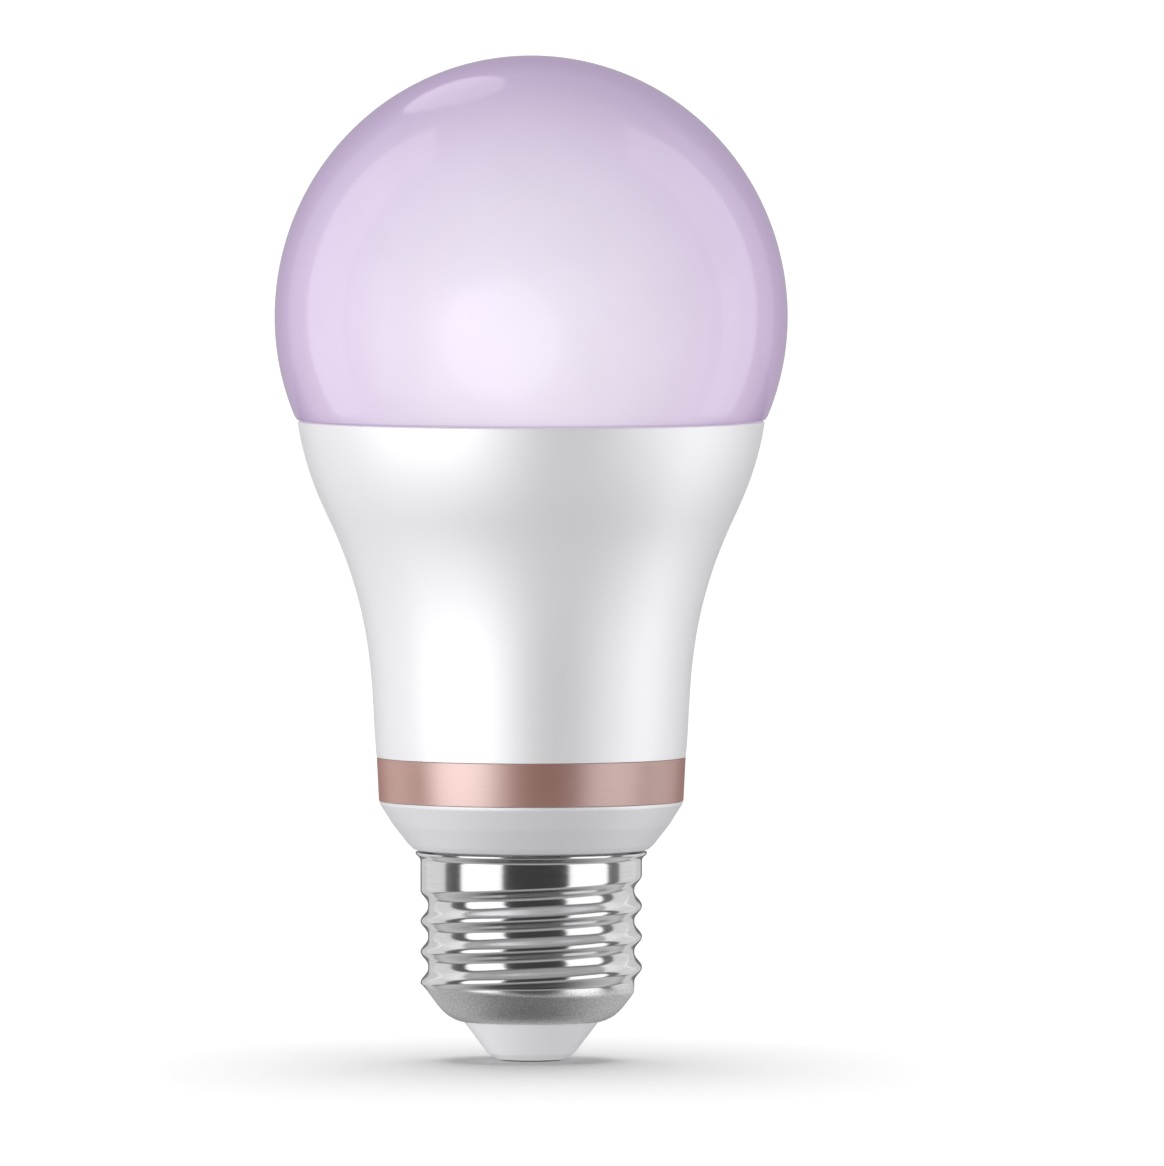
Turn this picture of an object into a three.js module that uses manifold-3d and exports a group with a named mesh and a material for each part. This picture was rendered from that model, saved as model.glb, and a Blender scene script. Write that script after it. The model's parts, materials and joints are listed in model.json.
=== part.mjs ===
// A connected A19 light bulb with a standard E26 screw cap, as an assembly of its separate pieces.
// Millimetres. +Z runs up the bulb's axis, from the tip of the cap (z = 0) to the top of the dome.
// -Y is the side that the driver's small parts face, +Y the side that its tall parts stand on.

import * as THREE from 'three';
import Module from 'manifold-3d';
import { mergeVertices } from 'three/addons/utils/BufferGeometryUtils.js';

const wasm = await Module();
wasm.setup();

// ---- Driving dimensions ----------------------------------------------------------------------

const TURNS = 28; // flats round every large turned piece, so that nested pieces keep even gaps
const SMALL_TURNS = 16; // flats round small turned pieces
const GAP = 0.1; // clearance between pieces that touch on the real bulb
const FACE_GAP = 0.05; // the same where one flat face is pressed on another

// Screw cap, E26: 7 threads to the inch.
const PITCH = 25.4 / 7;
const CREST_R = 13.07;
const ROOT_R = 12.17;
const SHEET = 0.3; // thickness of the rolled metal
const SHELL_TOP_Z = 24.6;
const LIP_R = 13.65;
const CREST_Z = 16.4; // height of the thread's crest on the -X side, where turn 0 is counted from
const GROOVE_END = [0.58, 0.78]; // turns over which the groove runs out at the top
const RIDGE_START = [-2.33, -2.17]; // turns over which the ridge rises at the bottom
// The lower end of the shell, from the insulator out to the last ridge, is a cubic curve. Each handle is
// [radius, height].
const SHELL_TAPER = [[8.4, 4.6], [10.6, 5.2], [11.2, 6.9], [12.9, 8.9]];
const TAPER_STEPS = 6;

// Insulator and contact at the tip.
const TIP_HOLE_R = 1.8;
const CONTACT_R = 3.3;
const CONTACT_T = 0.4;
const RIM_Z = 0.12; // lower edge of the insulator
const RIVET_R = 1.6;
const RIVET_TOP_Z = 8.7;

// Housing.
const NECK_BOTTOM_Z = 8.8;
const NECK_R = [10.2, 11.6]; // inner, outer
const COLLAR_Z = [24.75, 30.6]; // underside, and the edge that meets the trim band
const BAND_Z = [30.65, 35.75];
const BAND_R = [17.97, 18.22]; // outer radius at its lower and upper edge
const BAND_T = 0.3;
const WALL = 1.8;
const SEAM_Z = 75.4;
const SEAM_R = 27.55;
// The flare from the band up to the seam is two cubic curves that meet where it leans out most.
// Each handle is [radius, height].
const FLARE_LOWER = [[18.22, 35.8], [19.0, 42.1], [17.9, 51.3], [23.83, 63.8]];
const FLARE_UPPER = [[23.83, 63.8], [25.1, 66.5], [26.83, 70.3], [SEAM_R, SEAM_Z]];
const SHELF_Z = 67.9; // the heat sink's deck rests here
const SHELF_R = 24.6;
const LEDGE_Z = 71.2; // the dome's skirt is glued down here
const RECESS_R = 25.4;
const RAIL_X = 8; // the board rails reach in to here

// Dome: a sphere up to its equator, and slightly taller above it.
const DOME_R = 30.25;
const DOME_EQUATOR_Z = 87.7;
const DOME_HEIGHT = 30.8;
const DOME_WALL = 1.5;
const DOME_STEPS = 9; // facets from the equator to the top
const SKIRT_R = [24.2, 25.25];
const SKIRT_BOTTOM_Z = 72;

// Heat sink, thermal pad and LED board, stacked under the dome.
const DECK_R = 24.3;
const DECK_Z = [SHELF_Z + GAP, 70];
const SINK_BOTTOM_Z = 46;
const SINK_WALL = 1;
const SINK_GAP = 0.3;
const PAD_Z = [70.05, 70.4];
const PAD_R = 22;
const LED_BOARD_Z = [70.45, 72];
const LED_BOARD_R = 22.5;
const SCREW_CIRCLE_R = 19.5;
const SCREW_COUNT = 3;
const MODULE_WINDOW = { x: 0, y: 2.4, width: 15, depth: 4 };
const PIN_WINDOW = { x: 0, y: -5, width: 10.4, depth: 1.6 };
const DECK_WINDOW = { x: 0, y: -0.9, width: 17, depth: 11.4 };

// LEDs.
const WHITE_LED = { count: 12, ring: 18, size: [2.8, 3.5, 0.7], firstAngle: 15 };
const COLOUR_LED = { count: 6, ring: 12, size: [5, 5, 1.4], firstAngle: 30 };

// Driver board: a wide upper part and a tongue that slides down into the cap.
const BOARD_Y = [-4.6, -3.4];
const BOARD_WIDE = { half: 14, z: [31.5, 64] };
const BOARD_TONGUE = { half: 8.6, z: [11, 31.5] };
const LEAD_R = 0.3;
const LEAD_HOLE_R = 0.5;
const LEAD_END_Y = BOARD_Y[0] - 0.6;
const STANDOFF = 0.2; // air under a component

// Where each driver component sits: x and z on the board.
const BULK = { x: -7, r: 5, z: [34, 49], leadSpacing: 5, leadZ: 32.8 };
const OUTPUT = { x: -7, r: 4, z: [51, 61], leadSpacing: 3.5, leadZ: 50 };
const FILM = { x: 2.5, z: 22, size: [8, 5, 10], leadSpacing: 7 };
const INDUCTOR = { x: 6.5, z: 40.5, r: 4, height: 9, leadSpacing: 5 };
const VARISTOR = { x: 4.5, z: 31.5, r: 3.5, thickness: 3.5, leadSpacing: 5 };
const RESISTOR = { x: -5.5, r: 1.65, z: [16, 25], leadZ: [14.8, 26.2] };
const TRANSFORMER = { x: 5.5, y: 1.8, z: 53.5 };
const TRANSFORMER_PIN = { x: 3, z: 3.6 };
const RECTIFIER = { x: -4, z: 42, size: [4.9, 2.5, 4] };
const DRIVER_IC = { x: -2.5, z: 55, size: [4, 1.5, 5] };
const TRANSISTOR = { x: 0, z: 35.3, size: [6.5, 2.3, 5] };
const LIVE_HOLE = [4, 13];
const NEUTRAL_HOLE = [-2.5, 12.8];

// Connectors and the wireless module.
const PIN_SIZE = 0.64;
const PIN_SPACING = 2.54;
const BOARD_PINS = { count: 4, y: -5, z: [60.5, 74.5] };
const MODULE = { y: [1.2, 2], half: 7, z: [64.5, 81] };
const MODULE_PINS = { count: 5, y: 0.85, z: [62.5, 67.5] };

// ---- Helpers ---------------------------------------------------------------------------------

function material(color, roughness, metalness = 0) {
  return new THREE.MeshStandardMaterial({ color, roughness, metalness });
}

// Position-only geometry with shared vertices and no zero-area triangles, faces out.
function tidied(geometry) {
  const bare = geometry.clone();
  bare.deleteAttribute('normal');
  bare.deleteAttribute('uv');
  const merged = mergeVertices(bare, 1e-4);
  const corner = merged.index.array;
  const point = [0, 1, 2].map(() => new THREE.Vector3());
  const kept = [];
  let volume = 0;
  for (let i = 0; i < corner.length; i += 3) {
    const [a, b, c] = corner.slice(i, i + 3);
    if (new Set([a, b, c]).size === 3) {
      kept.push([a, b, c]);
      [a, b, c].forEach((vertex, k) => point[k].fromBufferAttribute(merged.attributes.position, vertex));
      volume += point[0].dot(point[1].cross(point[2]));
    }
  }
  const triangles = volume < 0 ? kept.map(([a, b, c]) => [a, c, b]) : kept;
  merged.setIndex(triangles.flat());
  return merged;
}

function solid(geometry) {
  const clean = tidied(geometry);
  return new wasm.Manifold(new wasm.Mesh({
    numProp: 3,
    vertProperties: new Float32Array(clean.attributes.position.array),
    triVerts: new Uint32Array(clean.index.array),
  }));
}

function geometryOf(body) {
  const { vertProperties, triVerts } = body.getMesh();
  const geometry = new THREE.BufferGeometry();
  geometry.setAttribute('position', new THREE.BufferAttribute(vertProperties, 3));
  geometry.setIndex(new THREE.BufferAttribute(triVerts, 1));
  return geometry;
}

function joined(...geometries) {
  return geometryOf(geometries.map(solid).reduce((whole, next) => whole.add(next)));
}

function cut(geometry, ...tools) {
  return geometryOf(tools.map(solid).reduce((whole, tool) => whole.subtract(tool), solid(geometry)));
}

// A closed outline of [radius, height] points, turned round the Z axis.
function turned(outline, flats = TURNS) {
  const points = [...outline, outline[0]].map(([r, z]) => new THREE.Vector2(r, z));
  return tidied(new THREE.LatheGeometry(points, flats).rotateX(Math.PI / 2));
}

// A box by its centre and size.
function box([x, y, z], [width, depth, height]) {
  return new THREE.BoxGeometry(width, depth, height).translate(x, y, z);
}

// A box between two values along each axis.
function block(xSpan, ySpan, zSpan) {
  const spans = [xSpan, ySpan, zSpan];
  return box(spans.map(([a, b]) => (a + b) / 2), spans.map(([a, b]) => Math.abs(b - a)));
}

// A round bar between two heights, at x, y.
function upright(x, y, radius, [z0, z1], flats = SMALL_TURNS) {
  const bar = new THREE.CylinderGeometry(radius, radius, z1 - z0, flats).rotateX(Math.PI / 2);
  return bar.translate(x, y, (z0 + z1) / 2);
}

// A round bar along Y, at x, z.
function crossBar(x, z, radius, [y0, y1], flats = SMALL_TURNS) {
  return new THREE.CylinderGeometry(radius, radius, y1 - y0, flats).translate(x, (y0 + y1) / 2, z);
}

// A flat plate between two heights, from a shape in the XY plane.
function plate(shape, [z0, z1], curveSegments = TURNS) {
  const options = { depth: z1 - z0, bevelEnabled: false, curveSegments };
  return new THREE.ExtrudeGeometry(shape, options).translate(0, 0, z0);
}

function circle(x, y, radius) {
  return new THREE.Path().absarc(x, y, radius, 0, 2 * Math.PI);
}

function rectangle({ x, y, width, depth }) {
  const corners = [[-1, -1], [1, -1], [1, 1], [-1, 1]];
  const points = corners.map(([i, j]) => new THREE.Vector2(x + (i * width) / 2, y + (j * depth) / 2));
  return new THREE.Shape(points);
}

// A round wire along a smooth curve through the given points.
function wire(points, radius, steps) {
  const path = new THREE.CatmullRomCurve3(points.map((point) => new THREE.Vector3(...point)));
  const section = new THREE.Shape().absarc(0, 0, radius, 0, 2 * Math.PI);
  return new THREE.ExtrudeGeometry(section, { steps, extrudePath: path, curveSegments: 4 });
}

// Evenly spaced places round the axis: the angle in degrees of each.
function ringAngles(count, firstAngle) {
  return Array.from({ length: count }, (_, i) => firstAngle + (i * 360) / count);
}

function onRing(radius, degrees) {
  const angle = THREE.MathUtils.degToRad(degrees);
  return [radius * Math.cos(angle), radius * Math.sin(angle)];
}

// Offsets that centre count places on zero.
function centredRow(count, spacing) {
  return Array.from({ length: count }, (_, i) => (i - (count - 1) / 2) * spacing);
}

// Points of the cubic curve with the given [radius, height] handles.
function curvePoints(handles, steps) {
  const curve = new THREE.CubicBezierCurve(...handles.map(([r, z]) => new THREE.Vector2(r, z)));
  return curve.getPoints(steps).map(({ x, y }) => [x, y]);
}

// The flare's outline between two heights, moved inward: [radius, height] points from bottom to top.
function flare(inward, lowest, highest) {
  const points = [...curvePoints(FLARE_LOWER, 8), ...curvePoints(FLARE_UPPER, 6).slice(1)];
  return points.filter(([, z]) => z > lowest && z < highest).map(([r, z]) => [r - inward, z]);
}

// ---- Screw cap -------------------------------------------------------------------------------

// How far the thread is raised at a height and angle: 0 in the groove, 1 on the crest.
function threadRise(z, angle) {
  const turn = angle / (2 * Math.PI) - 0.5; // counted from the -X side
  const above = (z - CREST_Z) / PITCH - turn; // pitches above the crest of turn 0
  const wave = (1 + Math.cos(2 * Math.PI * above)) / 2;
  const grooveTurn = turn + Math.round(above - 0.5);
  const ridgeTurn = turn + Math.round(above);
  const groove = 1 - THREE.MathUtils.smoothstep(grooveTurn, ...GROOVE_END);
  const ridge = THREE.MathUtils.smoothstep(ridgeTurn, ...RIDGE_START);
  return ridge * (1 - groove * (1 - wave));
}

const taper = curvePoints(SHELL_TAPER, TAPER_STEPS);

// The taper's radius at a height; above it, no limit.
function taperLimit(z) {
  const next = taper.findIndex(([, height]) => height >= z);
  if (next === -1) return Infinity;
  if (next === 0) return taper[0][0];
  const [r0, z0] = taper[next - 1];
  const [r1, z1] = taper[next];
  return r0 + ((r1 - r0) * (z - z0)) / (z1 - z0);
}

// Rolled sheet with the thread pressed into it, so that the thread shows on both faces.
function screwShell() {
  const rowsPerTurn = 5;
  const rows = [
    [SHELL_TOP_Z, LIP_R],
    [SHELL_TOP_Z - 0.4, 13.3],
    [SHELL_TOP_Z - 0.8, CREST_R],
  ];
  const threadTop = SHELL_TOP_Z - 1.4;
  const taperTop = taper.at(-1)[1];
  for (let z = threadTop; z > taperTop; z -= PITCH / rowsPerTurn) rows.push([z, null]);
  taper.slice(0, -1).reverse().forEach(([, z]) => rows.push([z, null]));

  const outerRadius = ([z, fixed], angle) => {
    if (fixed !== null) return fixed;
    return Math.min(ROOT_R + (CREST_R - ROOT_R) * threadRise(z, angle), taperLimit(z));
  };
  const loop = [...rows.map((row) => [row, 0]), ...rows.toReversed().map((row) => [row, SHEET])];
  const positions = [];
  for (let i = 0; i < TURNS; i += 1) {
    const angle = (2 * Math.PI * i) / TURNS;
    for (const [row, inset] of loop) {
      const radius = outerRadius(row, angle) - inset;
      const raise = row[0] < taperTop ? inset : 0; // on the flat taper the thickness is upward
      positions.push(radius * Math.cos(angle), radius * Math.sin(angle), row[0] + raise);
    }
  }
  const triangles = [];
  for (let i = 0; i < TURNS; i += 1) {
    for (let j = 0; j < loop.length; j += 1) {
      const here = i * loop.length + j;
      const below = i * loop.length + ((j + 1) % loop.length);
      const beside = ((i + 1) % TURNS) * loop.length + j;
      const across = ((i + 1) % TURNS) * loop.length + ((j + 1) % loop.length);
      triangles.push(here, below, across, here, across, beside);
    }
  }
  const geometry = new THREE.BufferGeometry();
  geometry.setAttribute('position', new THREE.Float32BufferAttribute(positions, 3));
  geometry.setIndex(triangles);
  return tidied(geometry);
}

// White cone that closes the shell. Its flange sits inside the shell's rolled edge, and its rim reaches
// down round the contact's head, which lies in a shallow recess.
function baseInsulator() {
  const recessZ = CONTACT_T + FACE_GAP;
  const recessR = CONTACT_R + 0.15;
  const flangeR = 9.2;
  const flangeTop = 8.2;
  const flats = 24;
  return turned([
    [TIP_HOLE_R, recessZ],
    [recessR, recessZ],
    [recessR, RIM_Z],
    [3.9, RIM_Z],
    [4.6, 0.3],
    [5.2, 0.9],
    [7.9, 4.5],
    [7.95, 5.2],
    [flangeR, 6.1],
    [flangeR, flangeTop],
    [TIP_HOLE_R, flangeTop],
  ], flats);
}

// Brass rivet: its head is the lamp's centre contact and its far end is spread to hold it in.
function centreContact() {
  const spread = 2.4;
  return turned([
    [0, 0],
    [2.6, 0],
    [CONTACT_R, 0.2],
    [CONTACT_R, CONTACT_T],
    [RIVET_R, CONTACT_T],
    [RIVET_R, 8.3],
    [spread, 8.3],
    [spread - 0.3, RIVET_TOP_Z],
    [0, RIVET_TOP_Z],
  ], SMALL_TURNS);
}

function liveWire() {
  const [x, z] = LIVE_HOLE;
  return wire([
    [x, LEAD_END_Y, z],
    [x, -3, z],
    [x - 1, -1.6, z - 0.2],
    [1.2, -0.4, 11.8],
    [0.1, 0, 10.3],
    [0, 0, RIVET_TOP_Z + GAP],
  ], 0.6, 16);
}

// Runs through the notch in the housing's neck and up the groove outside it, against the shell.
function neutralWire() {
  const [x, z] = NEUTRAL_HOLE;
  return wire([
    [x, LEAD_END_Y, z],
    [x, -2.6, z],
    [x + 0.4, 2, 11.9],
    [-0.6, 6.6, 10.4],
    [0, 9.6, 9.9],
    [0, 11, 10.8],
    [0, 11.15, 13],
    [0, 11.15, 16],
    [0, 11.15, 20],
  ], 0.4, 20);
}

// ---- Housing, trim band and dome -------------------------------------------------------------

// Pairs of rails inside the neck that the driver board's tongue slides between.
function boardRails() {
  const thick = 0.8;
  const height = [12, 25];
  const front = BOARD_Y[0] - STANDOFF;
  const back = BOARD_Y[1] + STANDOFF;
  return [-1, 1].flatMap((side) => [
    block([side * RAIL_X, side * 9.8], [front - thick, front], height),
    block([side * RAIL_X, side * 10.6], [back, back + thick], height),
  ]);
}

function housing() {
  const grooveDepth = 0.4;
  const body = turned([
    [NECK_R[0], NECK_BOTTOM_Z],
    [NECK_R[1], NECK_BOTTOM_Z],
    [NECK_R[1], COLLAR_Z[0]],
    [13.3, COLLAR_Z[0]],
    [13.9, 24.95],
    [14.5, 25.5],
    [17.8, 30.2],
    [17.95, COLLAR_Z[1]],
    [17.95 - grooveDepth, COLLAR_Z[1]],
    [BAND_R[1] - grooveDepth, FLARE_LOWER[0][1]],
    ...flare(0, 35, SEAM_Z - 0.2),
    [SEAM_R - 0.05, SEAM_Z - 0.2],
    [SEAM_R - 0.25, SEAM_Z],
    [RECESS_R, SEAM_Z],
    [RECESS_R, LEDGE_Z],
    [SHELF_R, LEDGE_Z],
    [SHELF_R, SHELF_Z],
    ...flare(WALL, 37, SHELF_Z).reverse(),
    [16.3, 36.5],
    [16.2, 31.5],
    [12.6, 26.4],
    [NECK_R[0], 26],
  ]);
  const wireSlot = 0.9;
  const notch = block([-wireSlot, wireSlot], [9, 12.5], [NECK_BOTTOM_Z - 1, 11.6]);
  const groove = block([-wireSlot, wireSlot], [10.6, 12.5], [NECK_BOTTOM_Z - 1, 21]);
  return cut(joined(body, ...boardRails()), notch, groove);
}

function trimBand() {
  return turned([
    [BAND_R[0] - BAND_T, BAND_Z[0]],
    [BAND_R[0], BAND_Z[0]],
    [BAND_R[1], BAND_Z[1]],
    [BAND_R[1] - BAND_T, BAND_Z[1]],
  ]);
}

// A point of the dome's round, inset by a wall, at an angle above the equator.
function domePoint(inset, angle) {
  const height = (angle > 0 ? DOME_HEIGHT : DOME_R) - inset;
  return [(DOME_R - inset) * Math.cos(angle), DOME_EQUATOR_Z + height * Math.sin(angle)];
}

// One side of the dome from its lower edge, through the equator, to the axis.
function domeSide(inset, edgeZ) {
  const edge = Math.asin((edgeZ - DOME_EQUATOR_Z) / (DOME_R - inset));
  const below = [4, 3, 2, 1].map((quarter) => domePoint(inset, (edge * quarter) / 4));
  const step = Math.PI / 2 / DOME_STEPS;
  const above = Array.from({ length: DOME_STEPS }, (_, i) => domePoint(inset, i * step));
  return [...below, ...above, [0, DOME_EQUATOR_Z + DOME_HEIGHT - inset]];
}

function diffuserDome() {
  const edgeZ = SEAM_Z + GAP + FACE_GAP;
  const rounding = 0.3;
  return turned([
    [SKIRT_R[0], SKIRT_BOTTOM_Z],
    [SKIRT_R[1], SKIRT_BOTTOM_Z],
    [SKIRT_R[1], edgeZ],
    [SEAM_R - rounding, edgeZ],
    ...domeSide(0, edgeZ + rounding),
    ...domeSide(DOME_WALL, edgeZ + DOME_WALL + rounding).reverse(),
    [SKIRT_R[0], edgeZ + rounding],
  ]);
}

function domeAdhesive() {
  const inner = SHELF_R + GAP;
  const outer = RECESS_R - GAP;
  const span = [LEDGE_Z + FACE_GAP, SKIRT_BOTTOM_Z - FACE_GAP];
  return turned([[inner, span[0]], [outer, span[0]], [outer, span[1]], [inner, span[1]]]);
}

// ---- Light engine ----------------------------------------------------------------------------

const screwPlaces = ringAngles(SCREW_COUNT, 0).map((angle) => onRing(SCREW_CIRCLE_R, angle));

// A drawn aluminium cup: a thick deck for the LED board, and a skirt down inside the housing.
function heatSink() {
  const outer = flare(WALL + SINK_GAP, SINK_BOTTOM_Z, SHELF_Z - 0.5);
  const inner = flare(WALL + SINK_GAP + SINK_WALL, SINK_BOTTOM_Z, SHELF_Z - 0.5);
  const cup = turned([
    ...outer,
    [outer.at(-1)[0], DECK_Z[0]],
    [DECK_R, DECK_Z[0]],
    [DECK_R, DECK_Z[1]],
    [0, DECK_Z[1]],
    [0, DECK_Z[0]],
    [inner.at(-1)[0], DECK_Z[0]],
    ...inner.reverse(),
  ]);
  const through = [DECK_Z[0] - 1, DECK_Z[1] + 1];
  const window = plate(rectangle(DECK_WINDOW), through);
  const holes = screwPlaces.map(([x, y]) => upright(x, y, 1.3, through, 12));
  return cut(cup, window, ...holes);
}

// A round sheet with the windows and screw holes of the LED board.
function roundSheet(radius, holeRadius, span, windows) {
  const disc = new THREE.Shape().absarc(0, 0, radius, 0, 2 * Math.PI);
  disc.holes = [...windows.map(rectangle), ...screwPlaces.map(([x, y]) => circle(x, y, holeRadius))];
  return plate(disc, span, 16);
}

// A surface-mounted LED at the origin: white package with its lens or phosphor window raised.
function ledPackage([width, depth, height]) {
  const margin = 0.35;
  const base = box([0, 0, (height - 0.1) / 2], [width, depth, height - 0.1]);
  const window = box([0, 0, height / 2], [width - 2 * margin, depth - 2 * margin, height]);
  return joined(base, window);
}

// Pan head with a cross recess, and a plain shank.
function boardScrew() {
  const shank = 1.1;
  const body = turned([
    [0, -5.5],
    [shank - 0.3, -5.5],
    [shank, -5],
    [shank, 0],
    [2.3, 0],
    [2.3, 0.6],
    [1.7, 1.3],
    [0, 1.4],
  ], SMALL_TURNS);
  const recess = 0.8;
  return cut(body, box([0, 0, 1.4], [2.4, 0.5, recess]), box([0, 0, 1.4], [0.5, 2.4, recess]));
}

// ---- Connectors and wireless module ----------------------------------------------------------

const boardPinX = centredRow(BOARD_PINS.count, PIN_SPACING);
const modulePinX = centredRow(MODULE_PINS.count, PIN_SPACING);

function pinHeader() {
  const strip = block([-5.2, 5.2], [BOARD_PINS.y - 1.27, BOARD_PINS.y + 1.27], [64.4, 66.9]);
  const height = BOARD_PINS.z[1] - BOARD_PINS.z[0];
  const pins = boardPinX.map((x) => box([x, BOARD_PINS.y, BOARD_PINS.z[0] + height / 2],
    [PIN_SIZE, PIN_SIZE, height]));
  return joined(strip, ...pins);
}

function boardSocket() {
  const shell = block([-6, 6], [BOARD_PINS.y - 1.6, BOARD_PINS.y + 1.6], [LED_BOARD_Z[1] + FACE_GAP, 76]);
  const hole = PIN_SIZE + 0.3;
  const holes = boardPinX.map((x) => box([x, BOARD_PINS.y, 73], [hole, hole, 4]));
  return cut(shell, ...holes);
}

function moduleHeader() {
  const [low, high] = MODULE_PINS.z;
  const strip = block([-6.4, 6.4], [BOARD_Y[1] + STANDOFF, -0.8], [low - 1.2, low + 1.2]);
  const pins = modulePinX.flatMap((x) => [
    box([x, MODULE_PINS.y, (low + high) / 2], [0.6, 0.6, high - low + 0.6]),
    block([x - LEAD_R, x + LEAD_R], [LEAD_END_Y, MODULE_PINS.y + 0.3], [low - LEAD_R, low + LEAD_R]),
  ]);
  return joined(strip, ...pins);
}

function moduleBoard() {
  return block([-MODULE.half, MODULE.half], MODULE.y, MODULE.z);
}

// Pressed metal can over the module's chips.
function moduleShield() {
  const back = MODULE.y[1] + FACE_GAP;
  const can = block([-6, 6], [back, back + 1.9], [65.6, 74.4]);
  const hollow = block([-5.75, 5.75], [back - 1, back + 1.65], [65.85, 74.15]);
  return cut(can, hollow);
}

// Printed aerial: a folded copper track on the module's upper end.
function moduleAntenna() {
  const track = 0.5;
  const fold = 1.1;
  const folds = 9;
  const [low, high] = [75.4, 80.2];
  const span = [MODULE.y[1] + 0.02, MODULE.y[1] + 0.12];
  const left = -((folds - 1) * fold) / 2;
  const strips = [];
  for (let i = 0; i < folds; i += 1) {
    const x = left + i * fold;
    strips.push(block([x - track / 2, x + track / 2], span, [low, high]));
    if (i < folds - 1) {
      const z = i % 2 === 0 ? high : low;
      strips.push(block([x - track / 2, x + fold + track / 2], span, [z - track / 2, z + track / 2]));
    }
  }
  return joined(...strips);
}

// ---- Driver ----------------------------------------------------------------------------------

// The holes that component leads pass through: x and z of each.
function leadHoles() {
  const pair = (x, z, spacing) => [[x - spacing / 2, z], [x + spacing / 2, z]];
  const uprightPair = (x, z, spacing) => [[x, z - spacing / 2], [x, z + spacing / 2]];
  const corners = [[-1, -1], [1, -1], [-1, 1], [1, 1]];
  return [
    ...pair(BULK.x, BULK.leadZ, BULK.leadSpacing),
    ...pair(OUTPUT.x, OUTPUT.leadZ, OUTPUT.leadSpacing),
    ...uprightPair(FILM.x, FILM.z, FILM.leadSpacing),
    ...uprightPair(INDUCTOR.x, INDUCTOR.z, INDUCTOR.leadSpacing),
    ...pair(VARISTOR.x, VARISTOR.z, VARISTOR.leadSpacing),
    ...RESISTOR.leadZ.map((z) => [RESISTOR.x, z]),
    ...corners.map(([i, k]) => {
      return [TRANSFORMER.x + i * TRANSFORMER_PIN.x, TRANSFORMER.z + k * TRANSFORMER_PIN.z];
    }),
    ...modulePinX.map((x) => [x, MODULE_PINS.z[0]]),
  ];
}

function driverBoard() {
  const span = [BOARD_Y[0] - 1, BOARD_Y[1] + 1];
  const wide = block([-BOARD_WIDE.half, BOARD_WIDE.half], BOARD_Y, BOARD_WIDE.z);
  const tongue = block([-BOARD_TONGUE.half, BOARD_TONGUE.half], BOARD_Y,
    [BOARD_TONGUE.z[0], BOARD_TONGUE.z[1] + 1]);
  const holes = leadHoles().map(([x, z]) => crossBar(x, z, LEAD_HOLE_R, span, 8));
  const wireHoles = [LIVE_HOLE, NEUTRAL_HOLE].map(([x, z]) => crossBar(x, z, 0.9, span, 8));
  return cut(joined(wide, tongue), ...holes, ...wireHoles);
}

function lead(x, z, fromY) {
  return crossBar(x, z, LEAD_R, [LEAD_END_Y, fromY], 6);
}

// An electrolytic capacitor lying on the board, with its leads bent into it.
function canCapacitor({ x, r, z, leadSpacing, leadZ }) {
  const y = BOARD_Y[1] + STANDOFF + r;
  const crimp = 0.35;
  const [bottom, top] = z;
  const can = turned([
    [0, bottom],
    [r - 0.2, bottom],
    [r, bottom + 0.4],
    [r, bottom + 1.2],
    [r - crimp, bottom + 1.8],
    [r, bottom + 2.4],
    [r, top - 0.4],
    [r - 0.4, top],
    [0, top],
  ], SMALL_TURNS).translate(x, y, 0);
  const leads = [-1, 1].flatMap((side) => {
    const at = x + (side * leadSpacing) / 2;
    return [upright(at, y, LEAD_R, [leadZ - LEAD_R, bottom + 0.5], 6), lead(at, leadZ, y)];
  });
  return joined(can, ...leads);
}

function filmCapacitor() {
  const [width, depth, height] = FILM.size;
  const y = BOARD_Y[1] + STANDOFF + depth / 2;
  const leads = [-1, 1].map((side) => lead(FILM.x, FILM.z + (side * FILM.leadSpacing) / 2, y));
  return joined(box([FILM.x, y, FILM.z], [width, depth, height]), ...leads);
}

// Drum core wound with enamelled wire inside a sleeve.
function filterInductor() {
  const { x, z, r, height, leadSpacing } = INDUCTOR;
  const y0 = BOARD_Y[1] + STANDOFF;
  const flange = 1.2;
  const drum = turned([
    [0, 0],
    [r, 0],
    [r, flange],
    [r - 0.5, flange],
    [r - 0.5, height - flange],
    [r, height - flange],
    [r, height],
    [0, height],
  ], SMALL_TURNS).rotateX(-Math.PI / 2).translate(x, y0, z);
  const leads = [-1, 1].map((side) => lead(x, z + (side * leadSpacing) / 2, y0 + 1));
  return joined(drum, ...leads);
}

function varistor() {
  const { x, z, r, thickness, leadSpacing } = VARISTOR;
  const y0 = BOARD_Y[1] + 2 * STANDOFF;
  const disc = crossBar(x, z, r, [y0, y0 + thickness]);
  const leads = [-1, 1].map((side) => lead(x + (side * leadSpacing) / 2, z, y0 + 1));
  return joined(disc, ...leads);
}

// Axial resistor with end caps slightly wider than its middle.
function fusibleResistor() {
  const { x, r, z, leadZ } = RESISTOR;
  const y = BOARD_Y[1] + STANDOFF + r;
  const cap = 1.6;
  const body = turned([
    [0, z[0]],
    [r, z[0]],
    [r, z[0] + cap],
    [r - 0.25, z[0] + cap + 0.4],
    [r - 0.25, z[1] - cap - 0.4],
    [r, z[1] - cap],
    [r, z[1]],
    [0, z[1]],
  ], SMALL_TURNS).translate(x, y, 0);
  const run = upright(x, y, LEAD_R, [leadZ[0] - LEAD_R, leadZ[1] + LEAD_R], 6);
  return joined(body, run, ...leadZ.map((end) => lead(x, end, y)));
}

// Two E halves as one closed core, seen from the front as a figure of eight.
function transformerCore() {
  const depth = 5;
  const windows = [-2.8, 2.8].map((x) => box([x, 0, 0], [2.6, depth + 2, 8]));
  return cut(box([0, 0, 0], [12, depth, 12]), ...windows);
}

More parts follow.
